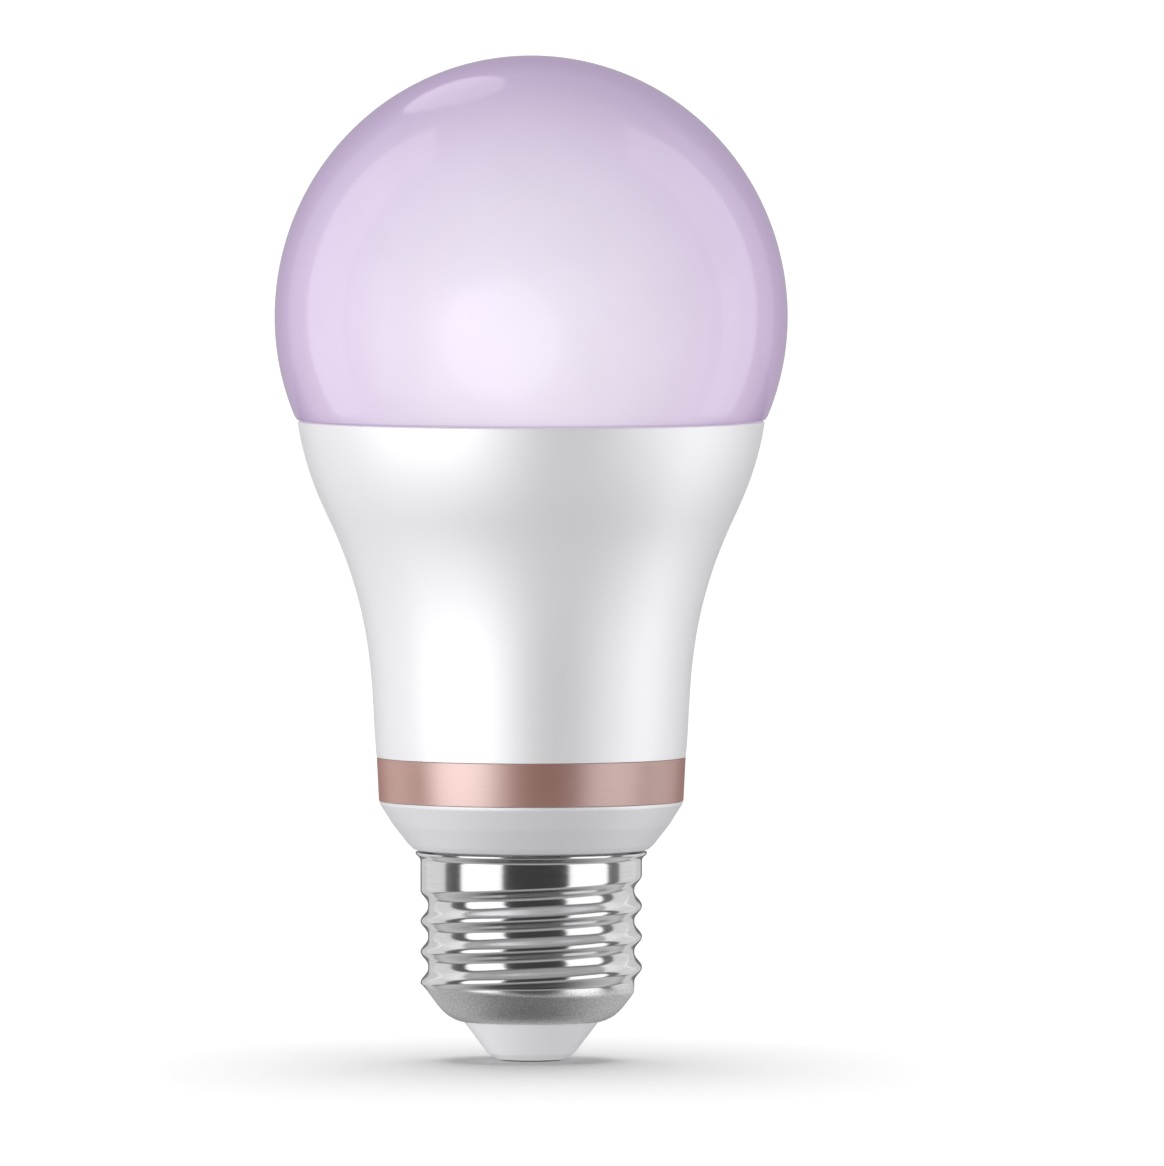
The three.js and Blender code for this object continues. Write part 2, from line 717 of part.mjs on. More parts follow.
// A ring of rectangular section round the core's middle leg.
function legRing(inner, outer, span) {
  const ring = rectangle({ x: 0, y: 0, width: 2 * outer[0], depth: 2 * outer[1] });
  ring.holes = [rectangle({ x: 0, y: 0, width: 2 * inner[0], depth: 2 * inner[1] })];
  return plate(ring, span);
}

function transformerBobbin() {
  const bore = [1.7, 2.7];
  const flange = [3.9, 4.9];
  const pinFrom = LEAD_END_Y - TRANSFORMER.y;
  const pins = [-1, 1].flatMap((i) => [-1, 1].map((k) => {
    const z = k * TRANSFORMER_PIN.z;
    return crossBar(i * TRANSFORMER_PIN.x, z, 0.25, [pinFrom, -4], 6);
  }));
  return joined(
    legRing(bore, [2.2, 3.2], [-3.85, 3.85]),
    legRing(bore, flange, [-3.85, -3.35]),
    legRing(bore, flange, [3.35, 3.85]),
    ...pins,
  );
}

function transformerWinding() {
  return legRing([2.3, 3.3], [3.7, 4.7], [-3.25, 3.25]);
}

// A moulded chip on the -Y face of the board, with gull-wing leads on its two long sides.
function boardChip({ x, z, size }, leadsPerSide, leadWidth) {
  const [width, depth, height] = size;
  const face = BOARD_Y[0] - FACE_GAP;
  const body = box([x, face - (depth + 0.1) / 2, z], [width, depth - 0.1, height]);
  const spacing = height / leadsPerSide;
  const leads = centredRow(leadsPerSide, spacing).flatMap((offset) => [-1, 1].map((side) => {
    const at = x + (side * (width + 1)) / 2;
    return box([at, face - 0.15, z + offset], [1.4, 0.3, leadWidth]);
  }));
  return joined(body, ...leads);
}

// ---- Assembly --------------------------------------------------------------------------------

const opal = material(0xd9c8e6, 0.18);
const whitePlastic = material(0xf0f0f2, 0.35);
const roseGold = material(0xc79a8c, 0.3, 1);
const nickel = material(0xd8d9dc, 0.15, 1);
const whiteInsulator = material(0xe8e7ea, 0.4);
const brass = material(0xc9a65a, 0.3, 1);
const silicone = material(0xe9e9ea, 0.5);
const aluminium = material(0xb9bcc0, 0.4, 1);
const greyPad = material(0x8f9aa3, 0.8);
const whiteMask = material(0xf3f3f0, 0.5);
const warmPhosphor = material(0xf2b84b, 0.5);
const coolPhosphor = material(0xf3e06a, 0.5);
const ledWhite = material(0xf4f4f2, 0.4);
const steel = material(0xb5b7ba, 0.35, 1);
const blackPlastic = material(0x1d1d1f, 0.5);
const greenBoard = material(0x1f5b39, 0.45);
const blueBoard = material(0x1b2f5a, 0.45);
const tinnedSteel = material(0xc4c6c9, 0.3, 1);
const copper = material(0xb87333, 0.35, 1);
const blackSleeve = material(0x22252b, 0.4);
const yellowFilm = material(0xd9b23a, 0.5);
const ferrite = material(0x3a3b3d, 0.7);
const blueEpoxy = material(0x2c5f9e, 0.45);
const greyCeramic = material(0x8fa39a, 0.6);
const redInsulation = material(0xb3261e, 0.5);
const whiteInsulation = material(0xe6e6e3, 0.5);

// A named piece in a group, placed and turned if need be.
function add(group, name, geometry, surface, place = [0, 0, 0], turnDegrees = 0) {
  const mesh = new THREE.Mesh(geometry, surface);
  mesh.name = name;
  mesh.position.set(...place);
  mesh.rotation.z = THREE.MathUtils.degToRad(turnDegrees);
  group.add(mesh);
}

function screwCap() {
  const group = new THREE.Group();
  add(group, 'screw_shell', screwShell(), nickel);
  add(group, 'base_insulator', baseInsulator(), whiteInsulator);
  add(group, 'centre_contact', centreContact(), brass);
  add(group, 'live_wire', liveWire(), redInsulation);
  add(group, 'neutral_wire', neutralWire(), whiteInsulation);
  return group;
}

function casing() {
  const group = new THREE.Group();
  add(group, 'housing', housing(), whitePlastic);
  add(group, 'trim_band', trimBand(), roseGold);
  add(group, 'diffuser_dome', diffuserDome(), opal);
  add(group, 'dome_adhesive', domeAdhesive(), silicone);
  return group;
}

function lightEngine() {
  const group = new THREE.Group();
  const top = LED_BOARD_Z[1] + FACE_GAP;
  add(group, 'heat_sink', heatSink(), aluminium);
  add(group, 'thermal_pad', roundSheet(PAD_R, 1.8, PAD_Z, [DECK_WINDOW]), greyPad);
  add(group, 'led_board', roundSheet(LED_BOARD_R, 1.4, LED_BOARD_Z, [MODULE_WINDOW, PIN_WINDOW]), whiteMask);
  ringAngles(WHITE_LED.count, WHITE_LED.firstAngle).forEach((angle, i) => {
    const [name, surface] = i % 2 === 0 ? ['warm_led', warmPhosphor] : ['cool_led', coolPhosphor];
    const number = Math.floor(i / 2) + 1;
    const place = [...onRing(WHITE_LED.ring, angle), top];
    add(group, `${name}_${number}`, ledPackage(WHITE_LED.size), surface, place, angle);
  });
  ringAngles(COLOUR_LED.count, COLOUR_LED.firstAngle).forEach((angle, i) => {
    const place = [...onRing(COLOUR_LED.ring, angle), top];
    add(group, `rgb_led_${i + 1}`, ledPackage(COLOUR_LED.size), ledWhite, place, angle);
  });
  screwPlaces.forEach(([x, y], i) => {
    add(group, `board_screw_${i + 1}`, boardScrew(), steel, [x, y, top], (i * 360) / SCREW_COUNT);
  });
  return group;
}

function electronics() {
  const group = new THREE.Group();
  const core = [TRANSFORMER.x, TRANSFORMER.y, TRANSFORMER.z];
  add(group, 'driver_board', driverBoard(), greenBoard);
  add(group, 'pin_header', pinHeader(), blackPlastic);
  add(group, 'board_socket', boardSocket(), blackPlastic);
  add(group, 'bulk_capacitor', canCapacitor(BULK), blackSleeve);
  add(group, 'output_capacitor', canCapacitor(OUTPUT), blackSleeve);
  add(group, 'film_capacitor', filmCapacitor(), yellowFilm);
  add(group, 'filter_inductor', filterInductor(), ferrite);
  add(group, 'varistor', varistor(), blueEpoxy);
  add(group, 'fusible_resistor', fusibleResistor(), greyCeramic);
  add(group, 'transformer_core', transformerCore(), ferrite, core);
  add(group, 'transformer_bobbin', transformerBobbin(), blackPlastic, core);
  add(group, 'transformer_winding', transformerWinding(), copper, core);
  add(group, 'bridge_rectifier', boardChip(RECTIFIER, 2, 0.7), blackPlastic);
  add(group, 'driver_ic', boardChip(DRIVER_IC, 4, 0.4), blackPlastic);
  add(group, 'switching_transistor', boardChip(TRANSISTOR, 2, 1), blackPlastic);
  add(group, 'module_board', moduleBoard(), blueBoard);
  add(group, 'module_shield', moduleShield(), tinnedSteel);
  add(group, 'module_antenna', moduleAntenna(), copper);
  add(group, 'module_header', moduleHeader(), blackPlastic);
  return group;
}

const bulb = new THREE.Group();
bulb.add(screwCap(), casing(), lightEngine(), electronics());

export default bulb;
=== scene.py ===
"""Looks of the smart light bulb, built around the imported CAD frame. Metres, +Z up the bulb's axis.

The outer skin is turned and rolled again here at full smoothness, on the frame's own sizes. The inner
pieces are the CAD solids with rounded edges, or are rebuilt from their boxes, and every piece has a
procedural material in object space.
"""

import json
import math

import bmesh
import bpy
from mathutils import Matrix, Vector


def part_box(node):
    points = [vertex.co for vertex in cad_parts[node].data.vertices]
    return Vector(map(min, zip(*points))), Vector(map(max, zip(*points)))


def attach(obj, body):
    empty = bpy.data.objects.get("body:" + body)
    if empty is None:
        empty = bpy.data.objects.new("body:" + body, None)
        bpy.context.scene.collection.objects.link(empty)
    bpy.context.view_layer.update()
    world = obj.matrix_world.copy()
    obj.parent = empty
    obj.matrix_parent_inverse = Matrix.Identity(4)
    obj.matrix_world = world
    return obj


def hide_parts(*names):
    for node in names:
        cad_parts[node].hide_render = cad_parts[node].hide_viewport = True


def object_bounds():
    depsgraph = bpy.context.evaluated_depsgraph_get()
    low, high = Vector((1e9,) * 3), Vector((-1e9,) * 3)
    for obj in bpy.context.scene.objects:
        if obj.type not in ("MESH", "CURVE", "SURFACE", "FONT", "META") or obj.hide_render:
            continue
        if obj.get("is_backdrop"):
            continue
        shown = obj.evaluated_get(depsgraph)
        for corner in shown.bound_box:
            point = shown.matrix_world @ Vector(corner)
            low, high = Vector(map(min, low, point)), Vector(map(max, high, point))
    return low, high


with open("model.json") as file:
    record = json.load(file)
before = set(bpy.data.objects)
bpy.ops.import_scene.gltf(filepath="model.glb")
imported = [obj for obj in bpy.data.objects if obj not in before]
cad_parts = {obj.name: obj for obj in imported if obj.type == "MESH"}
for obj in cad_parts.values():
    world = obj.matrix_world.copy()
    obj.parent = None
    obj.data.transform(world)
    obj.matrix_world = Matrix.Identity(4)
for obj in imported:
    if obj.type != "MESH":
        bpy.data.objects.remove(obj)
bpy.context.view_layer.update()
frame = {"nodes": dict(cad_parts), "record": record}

MM = 0.001
AROUND = 192  # facets round a turned piece
BODY = "root"

# ---- Sizes that the frame doesn't state, in millimetres ----

PITCH = 25.4 / 7  # E26 thread
CREST_R = 13.07
ROOT_R = 12.17
SHEET = 0.3
CREST_SHARPNESS = 1.35  # the crest is rounded more tightly than the groove
CREST_Z = 16.4  # the crest's height on the -X side, where turn 0 is counted from
GROOVE_END = (0.58, 0.78)  # turns over which the groove runs out at the top
RIDGE_START = (-2.33, -2.17)  # turns over which the ridge rises at the bottom
MATT_TOP_Z = 8.6  # below this the shell is sandblasted
SHELL_TAPER = ((8.4, 4.6), (10.6, 5.2), (11.2, 6.9), (12.9, 8.9))  # handles of its lower end's curve

TIP_HOLE_R = 1.8
RECESS_Z = 0.45  # roof of the recess that holds the contact's head
CONTACT_R = 3.3
CONTACT_T = 0.4
RIVET_R = 1.6
SPREAD_Z = 8.3  # the rivet's far end is spread above this

WALL = 1.8
NECK_R = (10.2, 11.6)  # inner, outer
COLLAR_Z = (24.75, 30.62)  # underside, and the edge that meets the trim band
RAIL_X = 8  # the board rails reach in to here
RAIL_Z = (12, 25)
WIRE_SLOT = 0.9  # half the width of the neutral wire's groove
BAND_R = (17.97, 18.22)  # at its lower and upper edge
BAND_T = 0.3
# The flare from the band to the seam is two cubic curves that meet where it leans out most.
SEAM_R = 27.55
SEAM_Z = 75.4
FLARE_LOWER = ((18.22, 35.8), (19.0, 42.1), (17.9, 51.3), (23.83, 63.8))
FLARE_UPPER = ((23.83, 63.8), (25.1, 66.5), (26.83, 70.3), (SEAM_R, SEAM_Z))
SHELF_R = 24.6
SHELF_Z = 67.9  # top of the shelf under the heat sink's deck
RECESS_R = 25.4
LEDGE_Z = 71.2  # the dome's skirt is glued down here

DOME_R = 30.25
DOME_EQUATOR_Z = 87.7
DOME_HEIGHT = 30.8
DOME_WALL = 1.5
SKIRT_R = (24.2, 25.25)

DECK_Z = 68  # underside of the heat sink's deck
SCREW_CIRCLE_R = 19.5
SCREW_PLACES = [
    (SCREW_CIRCLE_R * math.cos(turn), SCREW_CIRCLE_R * math.sin(turn))
    for turn in (0, 2 * math.pi / 3, 4 * math.pi / 3)
]
# Windows for what stands up through the sheets: x, y, width and depth.
DRIVER_WINDOW = (0, -0.9, 17, 11.4)
MODULE_WINDOW = (0, 2.4, 15, 4)
PIN_WINDOW = (0, -5, 10.4, 1.6)
WHITE_LED = (2.8, 3.5, 0.7)
COLOUR_LED = (5, 5, 1.4)

BOARD_BACK_Y = -3.4
STANDOFF = 0.2  # air under a component
LEAD_END_Y = -5.2
LEAD_R = 0.3
PIN_SPACING = 2.54

# ---- Camera ----

CAMERA_DISTANCE = 2.5
CAMERA_ELEVATION = math.radians(2.1)
VIEW_WIDTH = 0.13726  # what the picture's width spans at the bulb
VIEW_CENTRE = Vector((0.00599, 0, 0.0563))  # the bulb stands a little left of the middle


def add_camera():
    data = bpy.data.cameras.new("camera")
    data.sensor_fit = "HORIZONTAL"
    data.sensor_width = 36
    data.lens = data.sensor_width * CAMERA_DISTANCE / VIEW_WIDTH
    data.clip_end = 50
    camera = bpy.data.objects.new("camera", data)
    back = Vector((0, -math.cos(CAMERA_ELEVATION), math.sin(CAMERA_ELEVATION)))
    camera.location = VIEW_CENTRE + CAMERA_DISTANCE * back
    camera.rotation_euler = (math.pi / 2 - CAMERA_ELEVATION, 0, 0)
    bpy.context.scene.collection.objects.link(camera)
    bpy.context.scene.camera = camera


# ---- Meshes ----


def new_piece(node, form, mesh, finishes):
    """Links a mesh as the piece that stands for a CAD node. Its first finish is also its slot."""
    piece = bpy.data.objects.new(f"{node}_{form}", mesh)
    bpy.context.scene.collection.objects.link(piece)
    for finish in finishes:
        mesh.materials.append(materials[finish])
    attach(piece, BODY)
    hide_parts(node)
    return piece


def mesh_from(name, bm, sharp_degrees=40):
    """A smooth-shaded mesh whose edges are sharp where they turn by more than an angle."""
    bmesh.ops.recalc_face_normals(bm, faces=bm.faces)
    mesh = bpy.data.meshes.new(name)
    bm.to_mesh(mesh)
    bm.free()
    mesh.polygons.foreach_set("use_smooth", [True] * len(mesh.polygons))
    mesh.set_sharp_from_angle(angle=math.radians(sharp_degrees))
    mesh.update()
    return mesh


def fillet(before, corner, after, radius, steps=5):
    """Points of an arc that rounds a corner of an outline."""
    corner, before, after = Vector(corner), Vector(before), Vector(after)
    to_before = (before - corner).normalized()
    to_after = (after - corner).normalized()
    half = to_before.angle(to_after) / 2
    reach = radius / math.tan(half)
    reach = min(reach, 0.49 * (before - corner).length, 0.49 * (after - corner).length)
    start = corner + to_before * reach
    end = corner + to_after * reach
    centre = corner + (to_before + to_after).normalized() * (reach / math.cos(half))
    arc = []
    for i in range(steps + 1):
        point = start.lerp(end, i / steps)
        arc.append(tuple(centre + (point - centre).normalized() * (reach * math.tan(half))))
    return arc


def rounded(outline):
    """An outline of (radius, height) or (radius, height, fillet) points with its fillets drawn."""
    points = []
    for i, corner in enumerate(outline):
        if len(corner) == 2:
            points.append(corner)
            continue
        before = outline[i - 1][:2]
        after = outline[(i + 1) % len(outline)][:2]
        points.extend(fillet(before, corner[:2], after, corner[2]))
    return points


def polar(radius, angle, z):
    return (radius * math.cos(angle) * MM, radius * math.sin(angle) * MM, z * MM)


def turned(name, outline, around=AROUND, sharp_degrees=40):
    """A closed outline of (radius, height) points, some with a fillet, turned round Z."""
    bm = bmesh.new()
    rings = []
    for radius, height in rounded(outline):
        if radius < 1e-6:
            rings.append([bm.verts.new((0, 0, height * MM))])
            continue
        angles = [2 * math.pi * k / around for k in range(around)]
        rings.append([bm.verts.new(polar(radius, angle, height)) for angle in angles])
    for i, ring in enumerate(rings):
        following = rings[(i + 1) % len(rings)]
        if len(ring) == 1 and len(following) == 1:
            continue
        for k in range(around):
            beside = (k + 1) % around
            corners = [
                ring[k % len(ring)],
                ring[beside % len(ring)],
                following[beside % len(following)],
                following[k % len(following)],
            ]
            bm.faces.new(list(dict.fromkeys(corners)))
    return mesh_from(name, bm, sharp_degrees)


def turned_piece(node, form, outline, finish, around=AROUND):
    return new_piece(node, form, turned(f"{node}_{form}", outline, around), [finish])


def bezier(handles, steps):
    a, b, c, d = (Vector(handle) for handle in handles)
    points = []
    for i in range(steps + 1):
        t = i / steps
        u = 1 - t
        points.append(tuple(a * u**3 + b * (3 * u * u * t) + c * (3 * u * t * t) + d * t**3))
    return points


def flare(inward, lowest, highest, steps=36):
    """The housing's flare between two heights, moved inward."""
    points = bezier(FLARE_LOWER, steps)[:-1] + bezier(FLARE_UPPER, steps)
    return [(r - inward, z) for r, z in points if lowest < z < highest]


def box_into(bm, low, high):
    """Adds a box between two corners, in millimetres, to a bmesh."""
    low, high = Vector(low) * MM, Vector(high) * MM
    size = high - low
    matrix = Matrix.Translation((low + high) / 2) @ Matrix.Diagonal((*size, 1))
    bmesh.ops.create_cube(bm, size=1, matrix=matrix)


def boxes(*spans):
    """A mesh of separate boxes, each given by two corners."""
    bm = bmesh.new()
    for low, high in spans:
        box_into(bm, low, high)
    return mesh_from("boxes", bm)


def evaluated(item):
    """The mesh that an object's modifiers or curve settings make. The object is used up."""
    bpy.context.scene.collection.objects.link(item)
    bpy.context.view_layer.update()
    depsgraph = bpy.context.evaluated_depsgraph_get()
    mesh = bpy.data.meshes.new_from_object(item.evaluated_get(depsgraph))
    bpy.data.objects.remove(item)
    return mesh


def combined(mesh, tool_mesh, operation):
    """A mesh with another joined to it or cut from it."""
    tool = bpy.data.objects.new("tool", tool_mesh)
    bpy.context.scene.collection.objects.link(tool)
    body = bpy.data.objects.new("body", mesh)
    modifier = body.modifiers.new("boolean", "BOOLEAN")
    modifier.operation = operation
    modifier.object = tool
    bm = bmesh.new()
    bm.from_mesh(evaluated(body))
    bpy.data.objects.remove(tool)
    bmesh.ops.remove_doubles(bm, verts=bm.verts, dist=0.002 * MM)
    bmesh.ops.dissolve_degenerate(bm, edges=bm.edges, dist=0.002 * MM)
    return mesh_from("combined", bm)


def box_mm(node):
    """A CAD piece's lowest and highest corners in millimetres."""
    low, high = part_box(node)
    return low / MM, high / MM


def mirrored(half, low, high):
    """An outline between two heights, of its lower half and the same turned over."""
    return half + [(radius, low + high - z, *edge) for radius, z, *edge in half[::-1]]


def disc(radius, low, high, edge):
    """The outline of a disc between two heights, with its edges rounded."""
    return mirrored([(0, low), (radius, low, edge)], low, high)


def rounded_box(low, high, radius):
    bm = bmesh.new()
    box_into(bm, low, high)
    bmesh.ops.bevel(bm, geom=bm.edges[:], offset=radius * MM, segments=3, profile=0.5, affect="EDGES")
    return mesh_from("rounded_box", bm, 50)


def block(x, y, width, depth, bottom, top, radius):
    """A rounded box between two heights, centred on a point."""
    return rounded_box((x - width / 2, y - depth / 2, bottom), (x + width / 2, y + depth / 2, top), radius)


def rod(start, end, radius):
    """A round bar with slightly rounded ends."""
    along = Vector(end) - Vector(start)
    bar = turned("rod", disc(radius, 0, along.length, 0.25 * radius), 20)
    turn = along.to_track_quat("Z", "Y").to_matrix().to_4x4()
    bar.transform(Matrix.Translation(Vector(start) * MM) @ turn)
    return bar


def tube(points, radius):
    """A round wire along a smooth path."""
    curve = bpy.data.curves.new("tube", "CURVE")
    curve.dimensions = "3D"
    curve.bevel_depth = radius * MM
    curve.bevel_resolution = 4
    curve.resolution_u = 10
    curve.use_fill_caps = True
    spline = curve.splines.new("BEZIER")
    spline.bezier_points.add(len(points) - 1)
    for knot, point in zip(spline.bezier_points, points):
        knot.co = Vector(point) * MM
        knot.handle_left_type = "AUTO"
        knot.handle_right_type = "AUTO"
    bm = bmesh.new()
    bm.from_mesh(evaluated(bpy.data.objects.new("tube", curve)))
    bmesh.ops.remove_doubles(bm, verts=bm.verts, dist=0.001 * MM)
    return mesh_from("tube", bm, 50)


def moved(mesh, x, y):
    mesh.transform(Matrix.Translation((x * MM, y * MM, 0)))
    return mesh


def facing_back(mesh, x, y, z):
    """Moves a mesh that was turned round Z so that its axis runs along +Y from a point."""
    mesh.transform(Matrix.Translation(Vector((x, y, z)) * MM) @ Matrix.Rotation(-math.pi / 2, 4, "X"))
    return mesh


def merged(name, *parts):
    """One mesh of (mesh, finish) parts, where finish is the place of its slot in the piece's list."""
    bm = bmesh.new()
    for mesh, finish in parts:
        known = len(bm.faces)
        bm.from_mesh(mesh)
        bm.faces.ensure_lookup_table()
        for face in bm.faces[known:]:
            face.material_index = finish
    whole = bpy.data.meshes.new(name)
    bm.to_mesh(whole)
    bm.free()
    return whole


def rounded_copy(node, radius, slot):
    """The CAD solid with its sharp edges rounded, in place of the CAD piece."""
    bm = bmesh.new()
    bm.from_mesh(frame["nodes"][node].data)
    bmesh.ops.remove_doubles(bm, verts=bm.verts, dist=0.001 * MM)
    bmesh.ops.dissolve_limit(bm, angle_limit=math.radians(1), verts=bm.verts, edges=bm.edges)
    limit = math.radians(30)
    sharp = [edge for edge in bm.edges if edge.is_manifold and edge.calc_face_angle() > limit]
    bmesh.ops.bevel(
        bm, geom=sharp, offset=radius * MM, segments=2, profile=0.5, affect="EDGES", clamp_overlap=True
    )
    return new_piece(node, "rounded", mesh_from(node, bm, 15), [slot])


# ---- Screw cap ----


def smoothstep(low, high, value):
    t = min(1, max(0, (value - low) / (high - low)))
    return t * t * (3 - 2 * t)


def thread_radius(z, angle):
    """The shell's outer radius at a height and angle, between the groove's root and the crest."""
    turn = angle / (2 * math.pi) - 0.5
    above = (z - CREST_Z) / PITCH - turn
    wave = ((1 + math.cos(2 * math.pi * above)) / 2) ** CREST_SHARPNESS
    groove_turn = turn + round(above - 0.5)
    ridge_turn = turn + round(above)
    groove = 1 - smoothstep(*GROOVE_END, groove_turn)
    ridge = smoothstep(*RIDGE_START, ridge_turn)
    rise = ridge * (1 - groove * (1 - wave))
    return ROOT_R + (CREST_R - ROOT_R) * rise


def build_screw_shell():
    """Rolled sheet: a curled lip, the pressed thread, and a taper down to the insulator."""
    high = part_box("screw_shell")[1]
    top = high.z / MM
    lip = high.x / MM
    curl = [
        (lip - 0.16, top - 0.06),
        (lip - 0.08, top),
        (lip - 0.01, top - 0.03),
        (lip, top - 0.15),
        (lip - 0.05, top - 0.32),
        (lip - 0.2, top - 0.45),
        (lip - 0.38, top - 0.6),
        (lip - 0.5, top - 0.75),
        (CREST_R + 0.02, top - 0.95),
    ]
    taper = bezier(SHELL_TAPER, 24)[::-1]
    threaded_top = top - 1.1
    threaded_bottom = taper[0][1]
    threaded_rows = 116
    around = 240
    inside_from = 7  # the curl closes on itself, so the inner face starts below it
    bm = bmesh.new()
    columns = []
    for k in range(around):
        angle = 2 * math.pi * k / around
        outer = list(curl)
        for i in range(threaded_rows):
            z = threaded_top + (threaded_bottom - threaded_top) * i / threaded_rows
            outer.append((thread_radius(z, angle), z))
        last_radius = thread_radius(threaded_bottom, angle)
        outer += [(min(radius, last_radius), z) for radius, z in taper]
        inner = []
        for i in range(inside_from, len(outer)):
            ahead = Vector(outer[min(i + 1, len(outer) - 1)])
            along = (ahead - Vector(outer[i - 1])).normalized()
            inner.append((outer[i][0] + along.y * SHEET, outer[i][1] - along.x * SHEET))
        ring = [bm.verts.new(polar(r, angle, z)) for r, z in outer + inner[::-1]]
        columns.append(ring)
    count = len(columns[0])
    for k, column in enumerate(columns):
        beside = columns[(k + 1) % around]
        for j in range(count):
            below = (j + 1) % count
            bm.faces.new((column[j], column[below], beside[below], beside[j]))
    return new_piece("screw_shell", "rolled", mesh_from("screw_shell_rolled", bm, 60), ["nickel_plate"])


def build_base_insulator():
    """The white cone. Its rim reaches down round the contact's head, which lies in a shallow recess."""
    low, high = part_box("base_insulator")
    rim = low.z / MM
    recess_r = CONTACT_R + 0.15
    outline = [
        (TIP_HOLE_R, RECESS_Z),
        (recess_r, RECESS_Z),
        (recess_r, rim, 0.08),
        (4.0, rim, 0.4),
        (5.1, 0.8, 0.9),
        (7.95, 4.5, 0.3),
        (7.95, 5.2, 0.2),
        (9.2, 6.1, 0.3),
        (9.2, high.z / MM, 0.3),
        (TIP_HOLE_R, high.z / MM, 0.2),
    ]
    return turned_piece("base_insulator", "moulded", outline, "cap_insulator")


def build_centre_contact():
    """A brass rivet, whose head is the contact."""
    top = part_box("centre_contact")[1].z / MM
    outline = [
        (0, 0),
        (2.7, 0, 0.3),
        (CONTACT_R, 0.12, 0.12),
        (CONTACT_R, CONTACT_T, 0.08),
        (RIVET_R, CONTACT_T),
        (RIVET_R, SPREAD_Z),
        (2.4, SPREAD_Z, 0.1),
        (2.1, top, 0.15),
        (0, top),
    ]
    return turned_piece("centre_contact", "rivet", outline, "contact_brass", 96)


# ---- Housing, trim band and dome ----


def build_housing():
    """The casing in one turned shell, with the driver board's rails and the neutral wire's groove."""
    seam_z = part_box("housing")[1].z / MM
    neck_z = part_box("housing")[0].z / MM
    outline = [
        (NECK_R[0], neck_z, 0.15),
        (NECK_R[1], neck_z, 0.15),
        (NECK_R[1], COLLAR_Z[0]),
        (13.3, COLLAR_Z[0]),
        (13.9, 24.95, 0.2),
        (14.5, 25.5, 0.5),
        (16.28, 27.78, 4),
        (17.82, 30.2, 0.5),
        (17.96, COLLAR_Z[1], 0.06),
        (17.6, COLLAR_Z[1]),
        (17.85, 35.79),
        *flare(0, 35.7, seam_z - 0.35),
        (27.53, seam_z, 0.3),
        (RECESS_R, seam_z, 0.12),
        (RECESS_R, LEDGE_Z),
        (SHELF_R, LEDGE_Z, 0.1),
        (SHELF_R, SHELF_Z),
        *flare(WALL, 37, SHELF_Z)[::-1],
        (16.3, 36.5),
        (16.2, 31.5, 1),
        (12.6, 26.4, 0.6),
        (NECK_R[0], 26, 0.4),
    ]
    mesh = turned("housing_moulded", outline)
    rails = []
    for side in (-1, 1):
        for y_span, reach in (((-5.6, -4.8), 9.8), ((-3.2, -2.4), 10.6)):
            xs = sorted((side * RAIL_X, side * reach))
            rails.append(((xs[0], y_span[0], RAIL_Z[0]), (xs[1], y_span[1], RAIL_Z[1])))
    mesh = combined(mesh, boxes(*rails), "UNION")
    for near_y, top_z in ((9, 11.6), (10.6, 21)):
        groove = boxes(((-WIRE_SLOT, near_y, neck_z - 1), (WIRE_SLOT, 12.5, top_z)))
        mesh = combined(mesh, groove, "DIFFERENCE")
    return new_piece("housing", "moulded", mesh, ["white_housing"])


def build_trim_band():
    low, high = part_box("trim_band")
    outline = [
        (BAND_R[0] - BAND_T, low.z / MM),
        (BAND_R[0], low.z / MM, 0.06),
        (BAND_R[1], high.z / MM, 0.06),
        (BAND_R[1] - BAND_T, high.z / MM),
    ]
    return turned_piece("trim_band", "foil", outline, "rose_gold_trim")


def dome_side(inset, edge_z, steps=64):
    """One side of the dome from its lower edge to the axis."""
    radius = DOME_R - inset
    edge = math.asin((edge_z - DOME_EQUATOR_Z) / radius)
    points = []
    for i in range(steps + 1):
        angle = edge + (math.pi / 2 - edge) * i / steps
        height = radius if angle < 0 else DOME_HEIGHT - inset
        points.append((radius * math.cos(angle), DOME_EQUATOR_Z + height * math.sin(angle)))
    points[-1] = (0, points[-1][1])
    return points


def build_dome():
    """The blown dome with its glued skirt."""
    skirt_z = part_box("diffuser_dome")[0].z / MM
    edge_z = SEAM_Z + 0.15
    outline = [
        (SKIRT_R[0], skirt_z),
        (SKIRT_R[1], skirt_z, 0.1),
        (SKIRT_R[1], edge_z),
        (SEAM_R + 0.05, edge_z, 0.25),
        *dome_side(0, edge_z + 0.5),
        *dome_side(DOME_WALL, edge_z + DOME_WALL + 0.3)[::-1],
        (SKIRT_R[0], edge_z + 0.3),
    ]
    return turned_piece("diffuser_dome", "blown", outline, "opal_dome", 256)


# ---- Light engine ----


def drilled(mesh, windows, hole_radius, low_z, high_z):
    """A sheet with windows and screw holes cut through it."""
    bottom, top = low_z - 1, high_z + 1
    tools = [block(*window, bottom, top, 0.2) for window in windows]
    tools += [rod((x, y, bottom), (x, y, top), hole_radius) for x, y in SCREW_PLACES]
    return combined(mesh, merged("tools", *[(tool, 0) for tool in tools]), "DIFFERENCE")


def round_sheet(node, slot, hole_radius, windows):
    """A disc with windows and screw holes, on the CAD piece's size."""
    low, high = box_mm(node)
    sheet = turned(node, disc(high.x, low.z, high.z, 0.1 * (high.z - low.z)), 128)
    return new_piece(node, "cut", drilled(sheet, windows, hole_radius, low.z, high.z), [slot])


